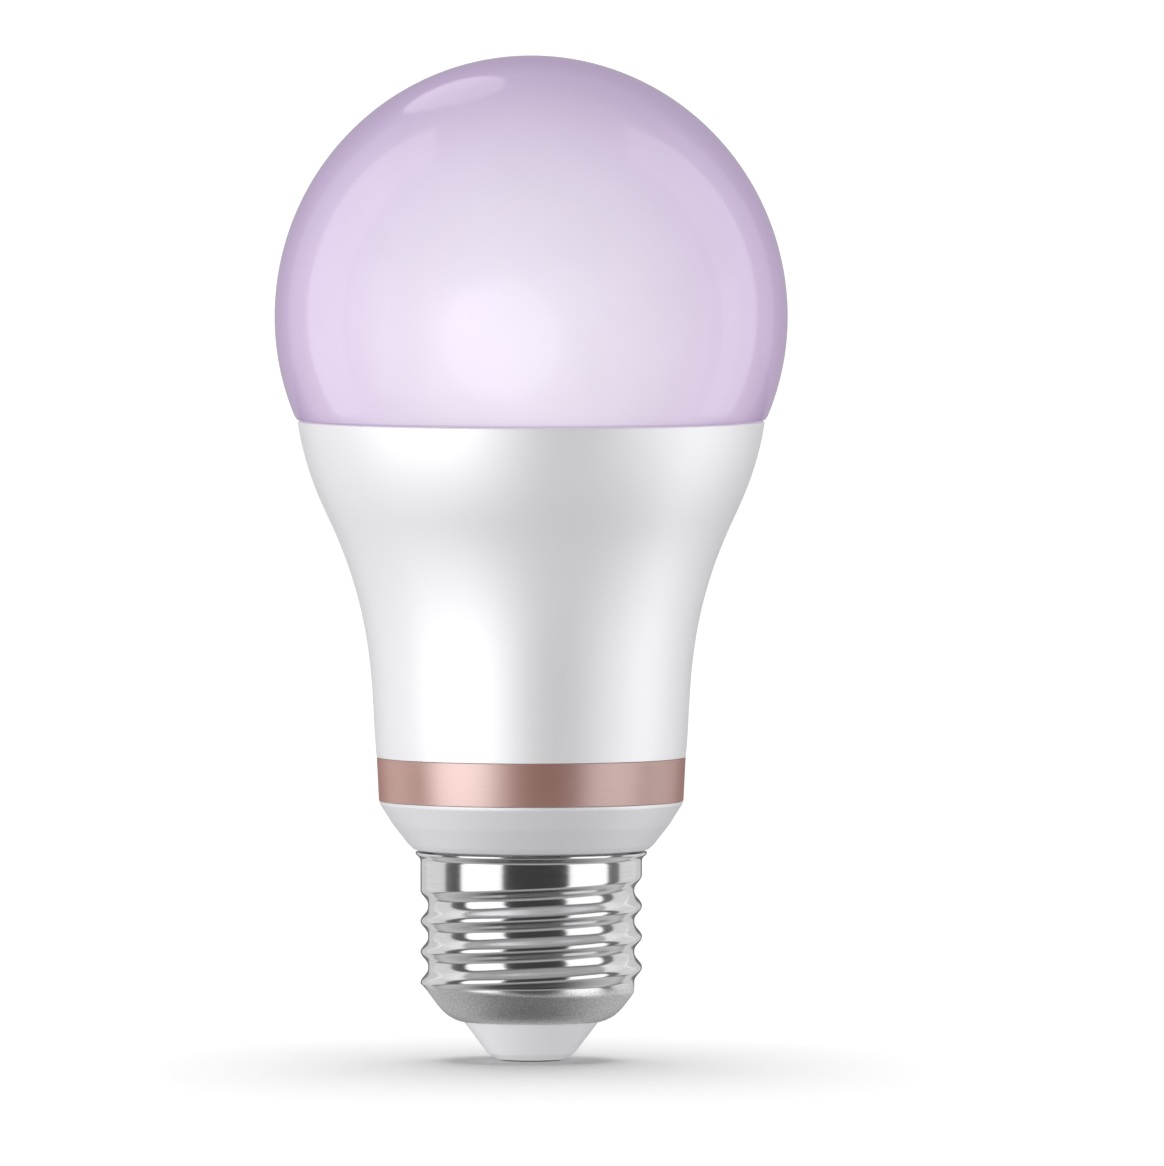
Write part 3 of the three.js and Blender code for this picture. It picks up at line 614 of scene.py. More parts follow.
def build_heat_sink():
    """A drawn cup with a thick deck for the LED board."""
    low, high = box_mm("heat_sink")
    gap = 0.3
    sheet = 1
    skirt = (low.z - 0.01, DECK_Z - 0.6)
    outer = flare(WALL + gap, *skirt)
    inner = flare(WALL + gap + sheet, *skirt)
    outline = [
        *outer,
        (outer[-1][0], DECK_Z, 0.3),
        (high.x, DECK_Z, 0.1),
        (high.x, high.z, 0.2),
        (0, high.z),
        (0, DECK_Z),
        (inner[-1][0], DECK_Z, 0.8),
        *inner[::-1],
    ]
    cup = drilled(turned("heat_sink", outline), [DRIVER_WINDOW], 1.3, DECK_Z, high.z)
    return new_piece("heat_sink", "drawn", cup, ["aluminium"])


def build_adhesive():
    """The silicone bead that holds the dome."""
    low, high = box_mm("dome_adhesive")
    half = [(SHELF_R + 0.1, low.z, 0.3), (high.x, low.z, 0.3)]
    return turned_piece("dome_adhesive", "bead", mirrored(half, low.z, high.z), "silicone")


def build_led(node, size, phosphor):
    """A white package with a raised phosphor or lens window."""
    low, high = box_mm(node)
    centre = (low + high) / 2
    width, depth, height = size
    margin = 0.35
    body = block(0, 0, width, depth, 0, height - 0.1, 0.12)
    if phosphor:
        window = block(0, 0, width - 2 * margin, depth - 2 * margin, 0.1, height, 0.09)
    else:
        radius = width / 2 - 0.5
        side = [(radius, 0.1), (radius, height - 0.04, 0.05), (radius - 0.5, height, 0.3)]
        window = turned("lens", [(0, 0.1), *side, (0, height)], 48)
    mesh = merged(node, (body, 0), (window, 1))
    outward = Matrix.Rotation(math.atan2(centre.y, centre.x), 4, "Z")
    mesh.transform(Matrix.Translation(Vector((centre.x, centre.y, low.z)) * MM) @ outward)
    return new_piece(node, "package", mesh, ["led_package", phosphor or "clear_lens"])


def build_board_screw(node):
    """A pan-head screw with a cross recess and a threaded shank."""
    low, high = box_mm(node)
    centre = (low + high) / 2
    head_z = high.z - 1.4
    crest, root = 1.1, 0.85
    ridges = [(crest if i % 2 else root, low.z + 0.6 + 0.2 * i) for i in range(23)]
    outline = [(0, low.z), (0.6, low.z, 0.1), *ridges, (1.0, head_z, 0.1), (2.3, head_z, 0.1)]
    outline += [(2.3, head_z + 0.6, 0.2), (1.7, high.z - 0.1, 0.5), (0, high.z)]
    body = turned(node, outline, 48)
    for width, depth in ((2.4, 0.5), (0.5, 2.4)):
        slot = block(0, 0, width, depth, head_z + 1, high.z + 1, 0.05)
        body = combined(body, slot, "DIFFERENCE")
    return new_piece(node, "threaded", moved(body, centre.x, centre.y), ["steel_screw"])


# ---- Electronics ----


def lead_through(x, z, from_y):
    """A straight lead from inside a component to just past the board's front face."""
    return rod((x, from_y, z), (x, LEAD_END_Y, z), LEAD_R)


def build_wire(node, path, radius, colour):
    """An insulated wire whose bare ends show."""
    mesh = merged(node, (tube(path[1:-1], radius), 0), (tube(path, radius / 2), 1))
    return new_piece(node, "insulated", mesh, [colour, "tinned_steel"])


def build_can(node, bottom, lead_z, spacing):
    """An electrolytic capacitor: a can with a scored lid in a shrunk sleeve, on two bent leads."""
    low, high = box_mm(node)
    radius = (high.x - low.x) / 2
    x, y, top = low.x + radius, high.y - radius, high.z
    sleeve = [
        (0, bottom),
        (radius, bottom, 0.35),
        (radius, bottom + 1.2, 0.3),
        (radius - 0.35, bottom + 1.8, 0.35),
        (radius, bottom + 2.4, 0.3),
        (radius, top, 0.4),
        (radius - 0.9, top, 0.1),
        (radius - 0.95, top - 0.4),
        (0, top - 0.4),
    ]
    lid_z = (top - 0.5, top - 0.08)
    lid = [(0, lid_z[0]), (radius - 0.9, lid_z[0]), (radius - 0.9, lid_z[1]), (0, lid_z[1])]
    lid = turned("lid", lid, 64)
    score = (2 * (radius - 1.5), 0.24)
    for width, depth in (score, score[::-1]):
        lid = combined(lid, block(0, 0, width, depth, top - 0.2, top + 1, 0.05), "DIFFERENCE")
    parts = [(moved(turned(node, sleeve, 64), x, y), 0), (moved(lid, x, y), 1)]
    for side in (-1, 1):
        at = x + side * spacing / 2
        bend = [(y, bottom + 0.5), (y, lead_z + 0.7), (y - 0.7, lead_z), (y - 1.4, lead_z)]
        path = [(at, *point) for point in (*bend, (LEAD_END_Y, lead_z))]
        parts.append((tube(path, LEAD_R), 1))
    return new_piece(node, "sleeved", merged(node, *parts), ["capacitor_sleeve", "tinned_steel"])


def build_film_capacitor():
    """A boxed capacitor on two straight leads."""
    low, high = box_mm("film_capacitor")
    centre = (low + high) / 2
    spacing = 7
    case = rounded_box((low.x, BOARD_BACK_Y + STANDOFF, low.z), high, 0.7)
    leads = [(lead_through(centre.x, centre.z + side * spacing / 2, 0), 1) for side in (-1, 1)]
    mesh = merged("film_capacitor", (case, 0), *leads)
    return new_piece("film_capacitor", "case", mesh, ["yellow_film", "tinned_steel"])


def build_filter_inductor():
    """A ferrite drum wound with enamelled wire."""
    low, high = box_mm("filter_inductor")
    radius = (high.x - low.x) / 2
    x, z = low.x + radius, (low.z + high.z) / 2
    foot = BOARD_BACK_Y + STANDOFF
    height = high.y - foot
    spacing = 5
    flange = 1.2
    core = radius - 1.4
    drum = mirrored([(0, 0), (radius, 0, 0.3), (radius, flange, 0.3), (core, flange)], 0, height)
    wire = 0.33
    facets = 6  # round the side of each turn of wire
    clear = 0.02
    steps = int((height - 2 * flange) / wire) * facets
    coil = [(core + 0.05, flange + clear)]
    for i in range(steps + 1):
        bulge = 0.5 * wire * abs(math.sin(math.pi * i / facets))
        coil.append((radius - 0.7 + bulge, flange + clear + (height - 2 * flange - 2 * clear) * i / steps))
    coil.append((core + 0.05, height - flange - clear))
    parts = [
        (facing_back(turned("drum", drum, 64), x, foot, z), 0),
        (facing_back(turned("coil", coil, 64, 80), x, foot, z), 1),
    ]
    parts += [(lead_through(x, z + side * spacing / 2, foot + 1), 2) for side in (-1, 1)]
    slots = ["ferrite", "copper_winding", "tinned_steel"]
    return new_piece("filter_inductor", "wound", merged("filter_inductor", *parts), slots)


def build_varistor():
    """A disc dipped in epoxy."""
    low, high = box_mm("varistor")
    radius = (high.x - low.x) / 2
    x, z = low.x + radius, low.z + radius
    foot = BOARD_BACK_Y + 2 * STANDOFF
    thick = high.y - foot
    spacing = 5
    body = turned("body", disc(radius, 0, thick, 1.2), 64)
    leads = [(lead_through(x + side * spacing / 2, z, foot + 1), 1) for side in (-1, 1)]
    mesh = merged("varistor", (facing_back(body, x, foot, z), 0), *leads)
    return new_piece("varistor", "dipped", mesh, ["blue_epoxy", "tinned_steel"])


def build_fusible_resistor():
    """A ceramic body with slightly wider end caps."""
    low, high = box_mm("fusible_resistor")
    radius = (high.x - low.x) / 2
    x, y = low.x + radius, high.y - radius
    bottom, top, cap = 16, 25, 1.6
    waist = radius - 0.25
    half = [
        (0, bottom),
        (radius, bottom, 0.5),
        (radius, bottom + cap, 0.4),
        (waist, bottom + cap + 0.4, 0.4),
    ]
    parts = [(moved(turned("body", mirrored(half, bottom, top), 64), x, y), 0)]
    for way, inner in ((-1, bottom + 0.3), (1, top - 0.3)):
        end = inner + way * 1.5
        bend = [(x, y, inner), (x, y, end - way * 0.7), (x, y - 0.7, end)]
        parts.append((tube([*bend, (x, LEAD_END_Y, end)], LEAD_R), 1))
    slots = ["grey_ceramic", "tinned_steel"]
    return new_piece("fusible_resistor", "body", merged("fusible_resistor", *parts), slots)


def build_chip(node, leads_per_side, lead_width):
    """A moulded chip on the board's front face, with gull-wing leads on its two long sides."""
    low, high = box_mm(node)
    face = high.y
    inset = 1.2
    body = rounded_box((low.x + inset, low.y, low.z), (high.x - inset, face - 0.12, high.z), 0.15)
    parts = [(body, 0)]
    x = (low.x + high.x) / 2
    pitch = (high.z - low.z) / leads_per_side
    middle_y = (low.y + face) / 2
    for i in range(leads_per_side):
        z = low.z + (i + 0.5) * pitch
        for side in (-1, 1):
            reach = side * (high.x - x)
            hip = x + reach - side * 0.75
            shoulder = x + reach - side * (inset + 0.2)
            bend = [(shoulder, middle_y), (hip, middle_y), (hip, face - 0.1), (x + reach, face - 0.1)]
            parts.append((ribbon(bend, z, lead_width, 0.18), 1))
    return new_piece(node, "moulded", merged(node, *parts), ["chip_epoxy", "tinned_steel"])


def ribbon(path, z, width, thickness):
    """A flat strip bent through (x, y) points, centred on a height."""
    bm = bmesh.new()
    rings = []
    for i, point in enumerate(path):
        before = Vector(path[max(i - 1, 0)])
        after = Vector(path[min(i + 1, len(path) - 1)])
        along = (after - before).normalized()
        across = Vector((-along.y, along.x)) * thickness / 2
        ring = []
        for offset, height in ((across, -1), (across, 1), (-across, 1), (-across, -1)):
            corner = Vector(point) + offset
            ring.append(bm.verts.new((corner.x * MM, corner.y * MM, (z + height * width / 2) * MM)))
        rings.append(ring)
    bm.faces.new(rings[0])
    bm.faces.new(rings[-1][::-1])
    for ring, following in zip(rings, rings[1:]):
        for k in range(4):
            beside = (k + 1) % 4
            bm.faces.new((ring[k], ring[beside], following[beside], following[k]))
    return mesh_from("ribbon", bm)


def build_pin_header(node, y_span, z_span, count, pins_at):
    """A plastic strip, notched between its pins, and the pins that stand at each place along it."""
    low, high = box_mm(node)
    half_cell = PIN_SPACING / 2 + 0.02
    parts = []
    for i in range(count):
        x = (low.x + high.x) / 2 + (i - (count - 1) / 2) * PIN_SPACING
        cell_low = (x - half_cell, y_span[0], z_span[0])
        cell_high = (x + half_cell, y_span[1], z_span[1])
        parts.append((rounded_box(cell_low, cell_high, 0.25), 0))
        parts += [(pin, 1) for pin in pins_at(x)]
    return new_piece(node, "strip", merged(node, *parts), ["black_plastic", "gold_pin"])


def build_headers():
    """The straight header between the boards, and the module's header with its right-angled pins."""
    low, high = box_mm("pin_header")
    y = (low.y + high.y) / 2

    def straight_pins(x):
        return [block(x, y, 0.64, 0.64, low.z, high.z, 0.12)]

    build_pin_header("pin_header", (low.y, high.y), (64.4, 66.9), 4, straight_pins)
    top = box_mm("module_header")[1].z
    pin_y = 0.85
    foot_z = 62.5
    foot = 0.26

    def angled_pins(x):
        foot_low = (x - foot, LEAD_END_Y, foot_z - foot)
        foot_high = (x + foot, pin_y + 0.2, foot_z + foot)
        upright = block(x, pin_y, 0.6, 0.6, foot_z - 0.3, top, 0.12)
        return [upright, rounded_box(foot_low, foot_high, 0.12)]

    strip_y = (BOARD_BACK_Y + STANDOFF, -0.8)
    build_pin_header("module_header", strip_y, (foot_z - 1.2, foot_z + 1.2), 5, angled_pins)


def build_light_engine():
    build_heat_sink()
    round_sheet("thermal_pad", "thermal_pad", 1.8, [DRIVER_WINDOW])
    round_sheet("led_board", "white_mask", 1.4, [MODULE_WINDOW, PIN_WINDOW])
    build_adhesive()
    for i in range(1, 7):
        build_led(f"warm_led_{i}", WHITE_LED, "warm_phosphor")
        build_led(f"cool_led_{i}", WHITE_LED, "cool_phosphor")
        build_led(f"rgb_led_{i}", COLOUR_LED, None)
    for i in range(1, 4):
        build_board_screw(f"board_screw_{i}")


def build_electronics():
    live = [(4, LEAD_END_Y, 13), (4, -3, 13), (3, -1.6, 12.8)]
    live += [(1.2, -0.4, 11.8), (0.1, 0, 10.3), (0, 0, 8.8)]
    neutral = [(-2.5, LEAD_END_Y, 12.8), (-2.5, -2.6, 12.8), (-2.1, 2, 11.9), (-0.6, 6.6, 10.4)]
    neutral += [(0, 9.6, 9.9), (0, 11, 10.8), (0, 11.15, 13), (0, 11.15, 16), (0, 11.15, 20)]
    build_wire("live_wire", live, 0.6, "red_insulation")
    build_wire("neutral_wire", neutral, 0.4, "white_insulation")
    build_can("bulk_capacitor", bottom=34, lead_z=32.8, spacing=5)
    build_can("output_capacitor", bottom=51, lead_z=50, spacing=3.5)
    build_film_capacitor()
    build_filter_inductor()
    build_varistor()
    build_fusible_resistor()
    build_chip("bridge_rectifier", leads_per_side=2, lead_width=0.7)
    build_chip("driver_ic", leads_per_side=4, lead_width=0.4)
    build_chip("switching_transistor", leads_per_side=2, lead_width=1)
    build_headers()
    rounded_copy("driver_board", 0.08, "green_board")
    rounded_copy("board_socket", 0.15, "black_plastic")
    rounded_copy("transformer_core", 0.25, "ferrite")
    rounded_copy("transformer_bobbin", 0.08, "black_plastic")
    rounded_copy("transformer_winding", 0.3, "copper_winding")
    rounded_copy("module_board", 0.08, "blue_board")
    rounded_copy("module_shield", 0.1, "tinned_steel")
    rounded_copy("module_antenna", 0.02, "copper_track")


# ---- Materials ----


def add_node(tree, kind, **values):
    """Adds a node. Each value is one of its settings or, where there is none of that name, an input."""
    node = tree.nodes.new(kind)
    for key, value in values.items():
        if hasattr(node, key):
            setattr(node, key, value)
        else:
            node.inputs[key.replace("_", " ")].default_value = value
    return node


def add_ramp(tree, value, stops, mode="LINEAR"):
    """A colour ramp of (position, colour) stops."""
    node = tree.nodes.new("ShaderNodeValToRGB")
    node.color_ramp.interpolation = mode
    elements = node.color_ramp.elements
    while len(elements) < len(stops):
        elements.new(0.5)
    for element, (place, colour) in zip(elements, stops):
        element.position = place
        element.color = (*colour, 1)
    tree.links.new(value, node.inputs["Fac"])
    return node.outputs["Color"]


class Surface:
    """A procedural material round one Principled shader."""

    def __init__(self, name, **values):
        self.material = bpy.data.materials.new(name)
        self.material.use_nodes = True
        self.tree = self.material.node_tree
        self.shader = self.tree.nodes["Principled BSDF"]
        for socket, value in values.items():
            if isinstance(value, tuple):
                value = (*value, 1)
            self.shader.inputs[socket.replace("_", " ")].default_value = value

    def node(self, kind, **values):
        return add_node(self.tree, kind, **values)

    def link(self, output, target):
        self.tree.links.new(output, target)

    def feed(self, socket, output):
        """Gives one of the shader's sockets a value that varies over the surface."""
        self.link(output, self.shader.inputs[socket])

    def position(self, scale=(1, 1, 1)):
        """Object coordinates in millimetres, stretched by a scale."""
        source = self.node("ShaderNodeTexCoord").outputs["Object"]
        mapping = self.node("ShaderNodeMapping", Scale=[factor / MM for factor in scale])
        self.link(source, mapping.inputs["Vector"])
        return mapping.outputs["Vector"]

    def noise(self, size, detail, stretch=(1, 1, 1)):
        """A noise value whose grains are about size millimetres."""
        node = self.node("ShaderNodeTexNoise", Scale=1 / size, Detail=detail)
        self.link(self.position(stretch), node.inputs["Vector"])
        return node.outputs["Fac"]

    def tones(self, value, dark, light):
        """A colour between two close tones."""
        return add_ramp(self.tree, value, [(0.3, dark), (0.7, light)])

    def spread(self, value, low, high):
        """A 0 to 1 value moved to the range low to high."""
        node = self.node("ShaderNodeMapRange", To_Min=low, To_Max=high)
        self.link(value, node.inputs["Value"])
        return node.outputs["Result"]

    def bump(self, height, strength, depth):
        """Bump of a height value; depth is in millimetres."""
        node = self.node("ShaderNodeBump", Strength=strength, Distance=depth * MM)
        self.link(height, node.inputs["Height"])
        self.feed("Normal", node.outputs["Normal"])

    def height_value(self, low, high):
        """0 at one height of the bulb and 1 at another, in millimetres."""
        split = self.node("ShaderNodeSeparateXYZ")
        self.link(self.position(), split.inputs["Vector"])
        node = self.node("ShaderNodeMapRange", From_Min=low, From_Max=high)
        self.link(split.outputs["Z"], node.inputs["Value"])
        return node.outputs["Result"]


def opal_dome():
    """Opal polycarbonate lit from inside, under a clear gloss that deepens its lilac at a slant."""
    s = Surface(
        "opal_dome",
        Roughness=0.45,
        IOR=1.5,
        Specular_IOR_Level=0.35,
        Emission_Strength=0.89,
        Coat_Weight=1.0,
        Coat_Roughness=0.1,
        Coat_IOR=1.15,
        Coat_Tint=(0.65, 0.535, 0.72),
    )
    glow = add_ramp(
        s.tree,
        s.height_value(75, 118.5),
        [
            (0.0, (0.94, 1.0, 0.9)),
            (0.25, (0.95, 1.0, 0.91)),
            (0.6, (0.93, 1.0, 0.92)),
            (1.0, (0.93, 1.0, 0.92)),
        ],
        "B_SPLINE",
    )
    s.feed("Emission Color", glow)
    s.feed("Base Color", s.tones(s.noise(9, 2), (0.2, 0.25, 0.19), (0.22, 0.27, 0.21)))
    s.bump(s.noise(6, 1), 0.05, 0.02)
    return s.material


def white_housing():
    """Smooth white moulded plastic with a very fine moulded grain."""
    s = Surface("white_housing", Metallic=0.38, IOR=1.5)
    s.feed("Base Color", s.tones(s.noise(12, 2), (0.95, 0.95, 0.975), (0.965, 0.965, 0.99)))
    s.feed("Roughness", s.spread(s.noise(3, 4), 0.48, 0.52))
    s.bump(s.noise(0.25, 2), 0.12, 0.01)
    return s.material


def rose_gold_trim():
    """Rose-gold foil under a satin lacquer that shines white, brushed round the bulb."""
    s = Surface("rose_gold_trim", Metallic=0.2, IOR=4.0)
    streaks = s.noise(0.9, 4, (0.25, 0.25, 9))
    s.feed("Base Color", s.tones(streaks, (0.56, 0.23, 0.18), (0.62, 0.28, 0.23)))
    s.feed("Roughness", s.spread(streaks, 0.34, 0.42))
    s.bump(streaks, 0.08, 0.01)
    return s.material


def nickel_plate():
    """Bright nickel with faint rolling marks, sandblasted on the taper."""
    s = Surface("nickel_plate", Metallic=1.0)
    marks = s.noise(1.4, 5, (0.4, 0.4, 5))
    matt = s.height_value(MATT_TOP_Z + 0.5, MATT_TOP_Z - 0.3)
    tone = s.node("ShaderNodeMix", data_type="RGBA")
    s.link(matt, tone.inputs["Factor"])
    s.link(s.tones(marks, (0.8, 0.8, 0.81), (0.86, 0.86, 0.87)), tone.inputs["A"])
    s.link(s.tones(s.noise(0.22, 3), (0.64, 0.64, 0.65), (0.98, 0.98, 0.99)), tone.inputs["B"])
    s.feed("Base Color", tone.outputs["Result"])
    rough = s.node("ShaderNodeMix", data_type="FLOAT")
    s.link(matt, rough.inputs["Factor"])
    s.link(s.spread(marks, 0.12, 0.19), rough.inputs["A"])
    s.link(s.spread(s.noise(0.2, 2), 0.38, 0.5), rough.inputs["B"])
    s.feed("Roughness", rough.outputs["Result"])
    return s.material


def cap_insulator():
    """White moulded plastic, glossier than the housing."""
    s = Surface("cap_insulator", IOR=1.5)
    s.feed("Base Color", s.tones(s.noise(2, 3), (0.92, 0.92, 0.945), (0.95, 0.95, 0.975)))
    s.feed("Roughness", s.spread(s.noise(1, 3), 0.32, 0.42))
    s.bump(s.noise(0.3, 2), 0.1, 0.01)
    return s.material


def contact_brass():
    """Brass, darkened all over as painted shade for the shadow under the insulator's rim, unevenly in
    patches.
    """
    s = Surface("contact_brass", Metallic=1.0)
    # painted shade: these dark brass tones stand in for the shadow under the cap's rim
    s.feed("Base Color", s.tones(s.noise(0.8, 5), (0.12, 0.09, 0.05), (0.24, 0.19, 0.11)))
    s.feed("Roughness", s.spread(s.noise(0.5, 4), 0.25, 0.5))
    s.bump(s.noise(0.4, 4), 0.15, 0.02)
    return s.material


def circuit_board(name, mask, track):
    """Lacquer over glass cloth, with the copper tracks showing paler under it."""
    s = Surface(name, Coat_Weight=0.6, Coat_Roughness=0.15)
    place = s.node("ShaderNodeSeparateXYZ")
    s.link(s.position(), place.inputs["Vector"])
    on_board = s.node("ShaderNodeCombineXYZ")
    s.link(place.outputs["Z"], on_board.inputs["X"])
    s.link(place.outputs["X"], on_board.inputs["Y"])
    tracks = s.node(
        "ShaderNodeTexBrick",
        offset=0.37,
        squash=2.6,
        squash_frequency=3,
        Color1=(0, 0, 0, 1),
        Color2=(0.12, 0.12, 0.12, 1),
        Mortar=(1, 1, 1, 1),
        Scale=1,
        Mortar_Size=0.16,
        Mortar_Smooth=0.2,
        Brick_Width=7,
        Row_Height=1.15,
    )
    s.link(on_board.outputs["Vector"], tracks.inputs["Vector"])
    s.feed("Base Color", add_ramp(s.tree, tracks.outputs["Color"], [(0.1, mask), (0.9, track)]))
    s.feed("Roughness", s.spread(s.noise(0.6, 3), 0.3, 0.42))
    s.bump(tracks.outputs["Color"], 0.3, 0.03)
    return s.material


GRAIN = 0.8  # of a small part's finish, in millimetres


def plain_grained(name, dark, light, rough, metallic):
    """A small part's finish: two close tones, uneven gloss and a fine grain."""
    s = Surface(name, Metallic=metallic)
    s.feed("Base Color", s.tones(s.noise(3 * GRAIN, 4), dark, light))
    s.feed("Roughness", s.spread(s.noise(GRAIN, 3), rough - 0.06, rough + 0.06))
    s.bump(s.noise(GRAIN / 3, 2), 0.15, 0.01)
    return s.material


GRAINED = {
    "red_insulation": ((0.5, 0.05, 0.04), (0.6, 0.08, 0.06), 0.45),
    "white_insulation": ((0.78, 0.78, 0.76), (0.85, 0.85, 0.83), 0.45),
    "silicone": ((0.78, 0.78, 0.78), (0.85, 0.85, 0.85), 0.5),
    "thermal_pad": ((0.26, 0.3, 0.34), (0.32, 0.36, 0.4), 0.8),
    "white_mask": ((0.84, 0.84, 0.82), (0.9, 0.9, 0.88), 0.4),
    "black_plastic": ((0.015, 0.015, 0.016), (0.03, 0.03, 0.032), 0.45),
    "capacitor_sleeve": ((0.012, 0.014, 0.02), (0.025, 0.028, 0.035), 0.3),
    "yellow_film": ((0.6, 0.4, 0.05), (0.7, 0.48, 0.08), 0.4),
    "ferrite": ((0.03, 0.03, 0.032), (0.06, 0.06, 0.062), 0.65),
    "blue_epoxy": ((0.02, 0.09, 0.3), (0.03, 0.13, 0.38), 0.3),
    "grey_ceramic": ((0.18, 0.24, 0.21), (0.24, 0.3, 0.27), 0.55),
    "chip_epoxy": ((0.012, 0.012, 0.013), (0.025, 0.025, 0.027), 0.5),
    "warm_phosphor": ((0.85, 0.5, 0.08), (0.92, 0.58, 0.12), 0.45),
    "cool_phosphor": ((0.85, 0.72, 0.16), (0.9, 0.8, 0.22), 0.45),
    "led_package": ((0.82, 0.82, 0.8), (0.88, 0.88, 0.86), 0.4),
    "clear_lens": ((0.55, 0.55, 0.5), (0.66, 0.66, 0.6), 0.15),
}
GRAINED_METAL = {
    "aluminium": ((0.6, 0.61, 0.63), (0.7, 0.71, 0.73), 0.35),
    "copper_winding": ((0.5, 0.2, 0.07), (0.62, 0.28, 0.11), 0.3),
    "tinned_steel": ((0.62, 0.63, 0.64), (0.72, 0.73, 0.74), 0.28),
    "copper_track": ((0.55, 0.26, 0.1), (0.65, 0.32, 0.14), 0.3),
    "steel_screw": ((0.5, 0.51, 0.52), (0.64, 0.65, 0.66), 0.3),
    "gold_pin": ((0.72, 0.52, 0.2), (0.82, 0.62, 0.28), 0.25),
}


def all_materials():
    made = {
        "opal_dome": opal_dome(),
        "white_housing": white_housing(),
        "rose_gold_trim": rose_gold_trim(),
        "nickel_plate": nickel_plate(),
        "cap_insulator": cap_insulator(),
        "contact_brass": contact_brass(),
        "green_board": circuit_board("green_board", (0.015, 0.1, 0.045), (0.03, 0.19, 0.08)),
        "blue_board": circuit_board("blue_board", (0.01, 0.03, 0.11), (0.02, 0.07, 0.22)),
    }
    for finishes, metallic in ((GRAINED, 0.0), (GRAINED_METAL, 1.0)):
        for name, values in finishes.items():
            made[name] = plain_grained(name, *values, metallic)
    return made


# ---- Studio ----

AIM = Vector((0, 0, 0.06))
LIGHT_DISTANCE = 0.9
FLOOR_RADIUS = 0.3
FLOOR_GLOW = 0.02
FLOOR_GAP = 0.00005
BACKDROP = 1.1  # how white the world is to the camera
# The room's brightness from the camera's side (-1) to the far side (1), and from below (-1) to above (1).
ROOM_FRONT_TO_BACK = ((-0.16, 0.05), (0.12, 0.15))
ROOM_BELOW_TO_ABOVE = ((-0.93, 0.0), (-0.8, 0.26), (-0.58, 0.44), (-0.4, 0.0), (0.5, 0.0), (0.8, 0.32))


def softbox(name, azimuth, elevation, across, tall, radiance, shape="RECTANGLE"):
    """An area light facing the bulb. Its place and size are in degrees, seen from the bulb.

    Azimuth 0 is the camera's side, and it grows towards +X.
    """
    data = bpy.data.lights.new(name, "AREA")
    data.shape = shape
    data.size = 2 * LIGHT_DISTANCE * math.tan(math.radians(across / 2))
    data.size_y = 2 * LIGHT_DISTANCE * math.tan(math.radians(tall / 2))
    area = data.size * data.size_y * (math.pi / 4 if shape == "ELLIPSE" else 1)
    data.energy = radiance * math.pi * area
    light = bpy.data.objects.new(name, data)
    turn, rise = math.radians(azimuth), math.radians(elevation)
    out = Vector((math.sin(turn) * math.cos(rise), -math.cos(turn) * math.cos(rise), math.sin(rise)))
    light.location = AIM + LIGHT_DISTANCE * out
    light.rotation_euler = out.to_track_quat("Z", "Y").to_euler()
    light.visible_camera = False
    bpy.context.scene.collection.objects.link(light)
    return light


def add_world():
    """White to the camera. Other rays see a grey studio, pale below and above, darker in front."""
    world = bpy.data.worlds.new("studio")
    world.use_nodes = True
    tree = world.node_tree
    link = tree.links.new
    tree.nodes.clear()
    coordinates = tree.nodes.new("ShaderNodeTexCoord")
    split = tree.nodes.new("ShaderNodeSeparateXYZ")
    link(coordinates.outputs["Generated"], split.inputs["Vector"])

    def brightness(axis, stops):
        spread = add_node(tree, "ShaderNodeMapRange", From_Min=-1, From_Max=1)
        link(split.outputs[axis], spread.inputs["Value"])
        greys = [((place + 1) / 2, (value, value, value)) for place, value in stops]
        return add_ramp(tree, spread.outputs["Result"], greys)

    total = add_node(tree, "ShaderNodeMix", data_type="RGBA", blend_type="ADD", Factor=1)
    link(brightness("Y", ROOM_FRONT_TO_BACK), total.inputs["A"])
    link(brightness("Z", ROOM_BELOW_TO_ABOVE), total.inputs["B"])
    room = tree.nodes.new("ShaderNodeBackground")
    link(total.outputs["Result"], room.inputs["Color"])
    white = add_node(tree, "ShaderNodeBackground", Strength=BACKDROP, Color=(1, 1, 1, 1))
    path = tree.nodes.new("ShaderNodeLightPath")
    mix = tree.nodes.new("ShaderNodeMixShader")
    link(path.outputs["Is Camera Ray"], mix.inputs["Fac"])
    link(room.outputs["Background"], mix.inputs[1])
    link(white.outputs["Background"], mix.inputs[2])
    output = tree.nodes.new("ShaderNodeOutputWorld")
    link(mix.outputs["Shader"], output.inputs["Surface"])
    bpy.context.scene.world = world


def add_floor():
    """A round white floor. The studio's own lower half lights the bulb from below, not this disc."""
    bm = bmesh.new()
    bmesh.ops.create_circle(bm, cap_ends=True, segments=128, radius=FLOOR_RADIUS)
    mesh = bpy.data.meshes.new("floor")
    bm.to_mesh(mesh)
    bm.free()
    floor = bpy.data.objects.new("floor", mesh)
    floor.location.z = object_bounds()[0].z - FLOOR_GAP
    floor.visible_diffuse = False
    floor.visible_glossy = False
    floor.visible_transmission = False
    floor.visible_shadow = False
    bpy.context.scene.collection.objects.link(floor)
    floor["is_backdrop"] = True
    paint = Surface(
        "floor",
        Base_Color=(0.9, 0.9, 0.9),
        Roughness=0.9,
        Specular_IOR_Level=0.0,
        Emission_Color=(1, 1, 1),
        Emission_Strength=FLOOR_GLOW,
    )
    mesh.materials.append(paint.material)
    return floor


def link_light(light, objects, state="INCLUDE"):
    """Keeps a light to some objects, or off them with EXCLUDE."""
    receivers = bpy.data.collections.new(light.name + "_receivers")
    for item in objects:
        receivers.objects.link(item)
    for entry in receivers.collection_objects:
        entry.light_linking.link_state = state
    light.light_linking.receiver_collection = receivers


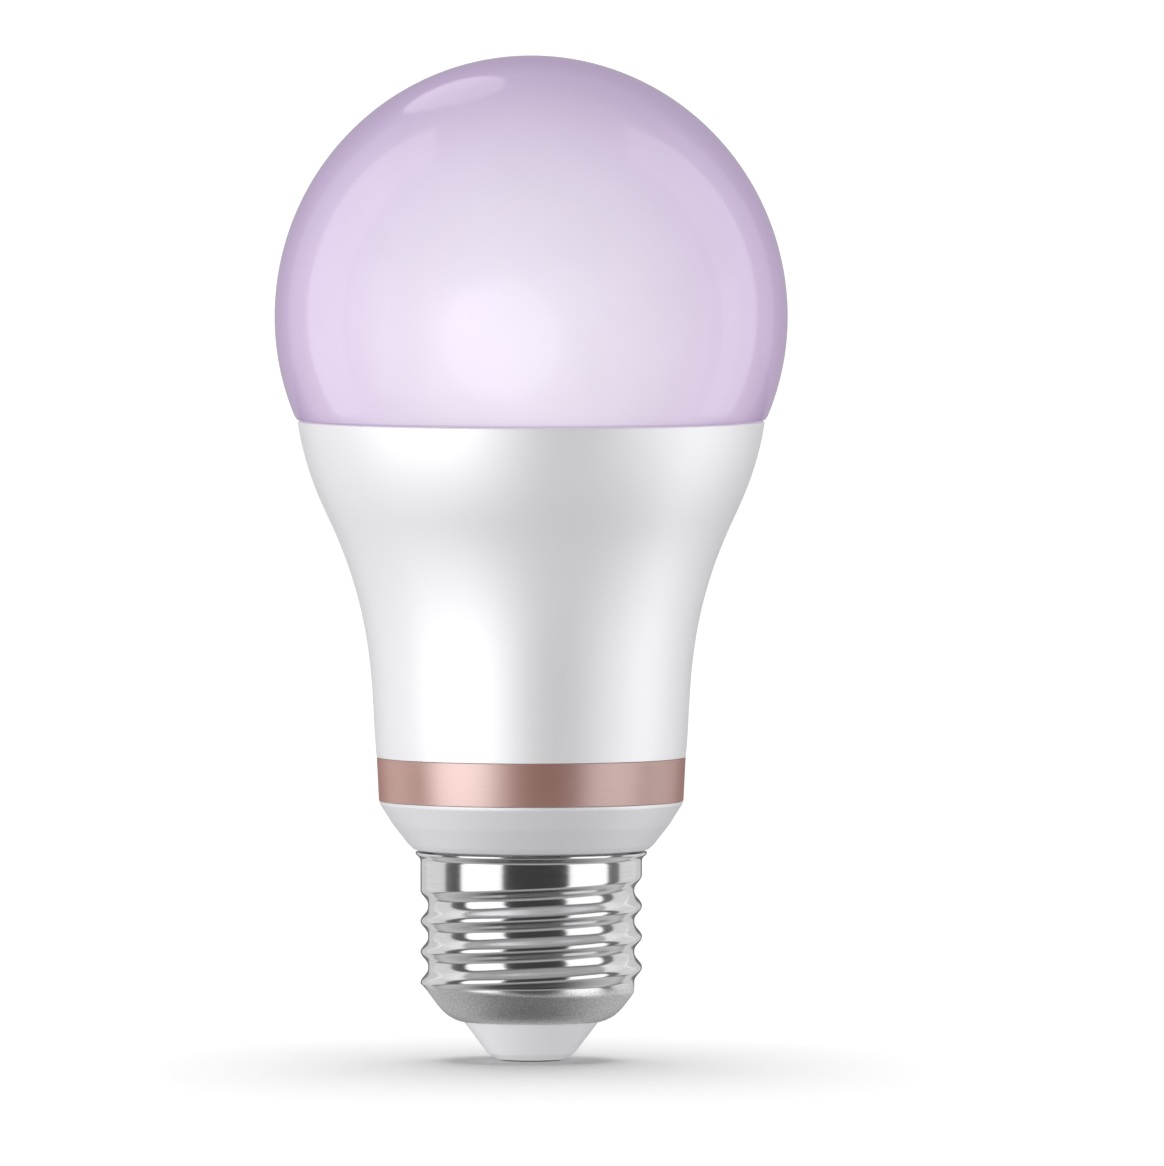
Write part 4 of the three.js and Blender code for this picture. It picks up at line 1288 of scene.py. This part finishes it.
def add_room_lights(floor, shell):
    """What the mirror-like cap shows: two big softboxes, dimmer strips beside and behind, a top light."""
    for light in (
        softbox("key_softbox", -54, 0, 48, 60, 1.25),
        softbox("fill_softbox", 63.5, 0, 47, 60, 1.2),
        softbox("left_strip", -120, 10, 40, 70, 0.6),
        softbox("right_strip", 122, 10, 36, 70, 0.6),
        softbox("top_softbox", -158, 48, 18, 26, 2.6, "ELLIPSE"),
    ):
        link_light(light, [floor], "EXCLUDE")
    for azimuth in (-150, 150):
        link_light(softbox("cap_back_strip", azimuth, 0, 22, 60, 0.5), [shell])


def add_satin_lights(satin_pieces, band, dome):
    """Reflectors that only reach the satin pieces, as flags would keep them off the cap."""
    link_light(softbox("left_panel", -76, -3, 26, 46, 1.42), satin_pieces)
    link_light(softbox("right_panel", 94, -12, 24, 48, 1.7), satin_pieces)
    link_light(softbox("front_panel", -30, -9, 40, 46, 1.72), satin_pieces)
    link_light(softbox("band_left_panel", -50, 0, 64, 50, 0.95), [band])
    link_light(softbox("band_right_panel", 100, 0, 24, 50, 0.4), [band])
    link_light(softbox("dome_panel", -14, -8, 54, 54, 6.5, "ELLIPSE"), [dome])
    for light in (
        softbox("dome_left_strip", -106, 15, 27, 90, 3.7),
        softbox("dome_right_strip", 108, 15, 27, 90, 3.5),
        softbox("dome_back", 180, 20, 110, 60, 0.3),
    ):
        light.visible_diffuse = False
        link_light(light, [dome])


# ---- Assembly ----


def paint_cad_nodes():
    for part in frame["record"]["subparts"]:
        piece = frame["nodes"][part["node"]]
        piece.data.materials.clear()
        piece.data.materials.append(materials[part["material_slot"]])


materials = all_materials()
paint_cad_nodes()
shell = build_screw_shell()
build_centre_contact()
band = build_trim_band()
dome = build_dome()
housing = build_housing()
base_insulator = build_base_insulator()
build_light_engine()
build_electronics()
add_camera()
add_world()
floor = add_floor()
add_room_lights(floor, shell)
add_satin_lights([base_insulator, housing, dome], band, dome)
link_light(softbox("floor_softbox", 180, 80, 54, 80, 3.0), [floor])
bpy.context.scene.view_settings.view_transform = "Standard"
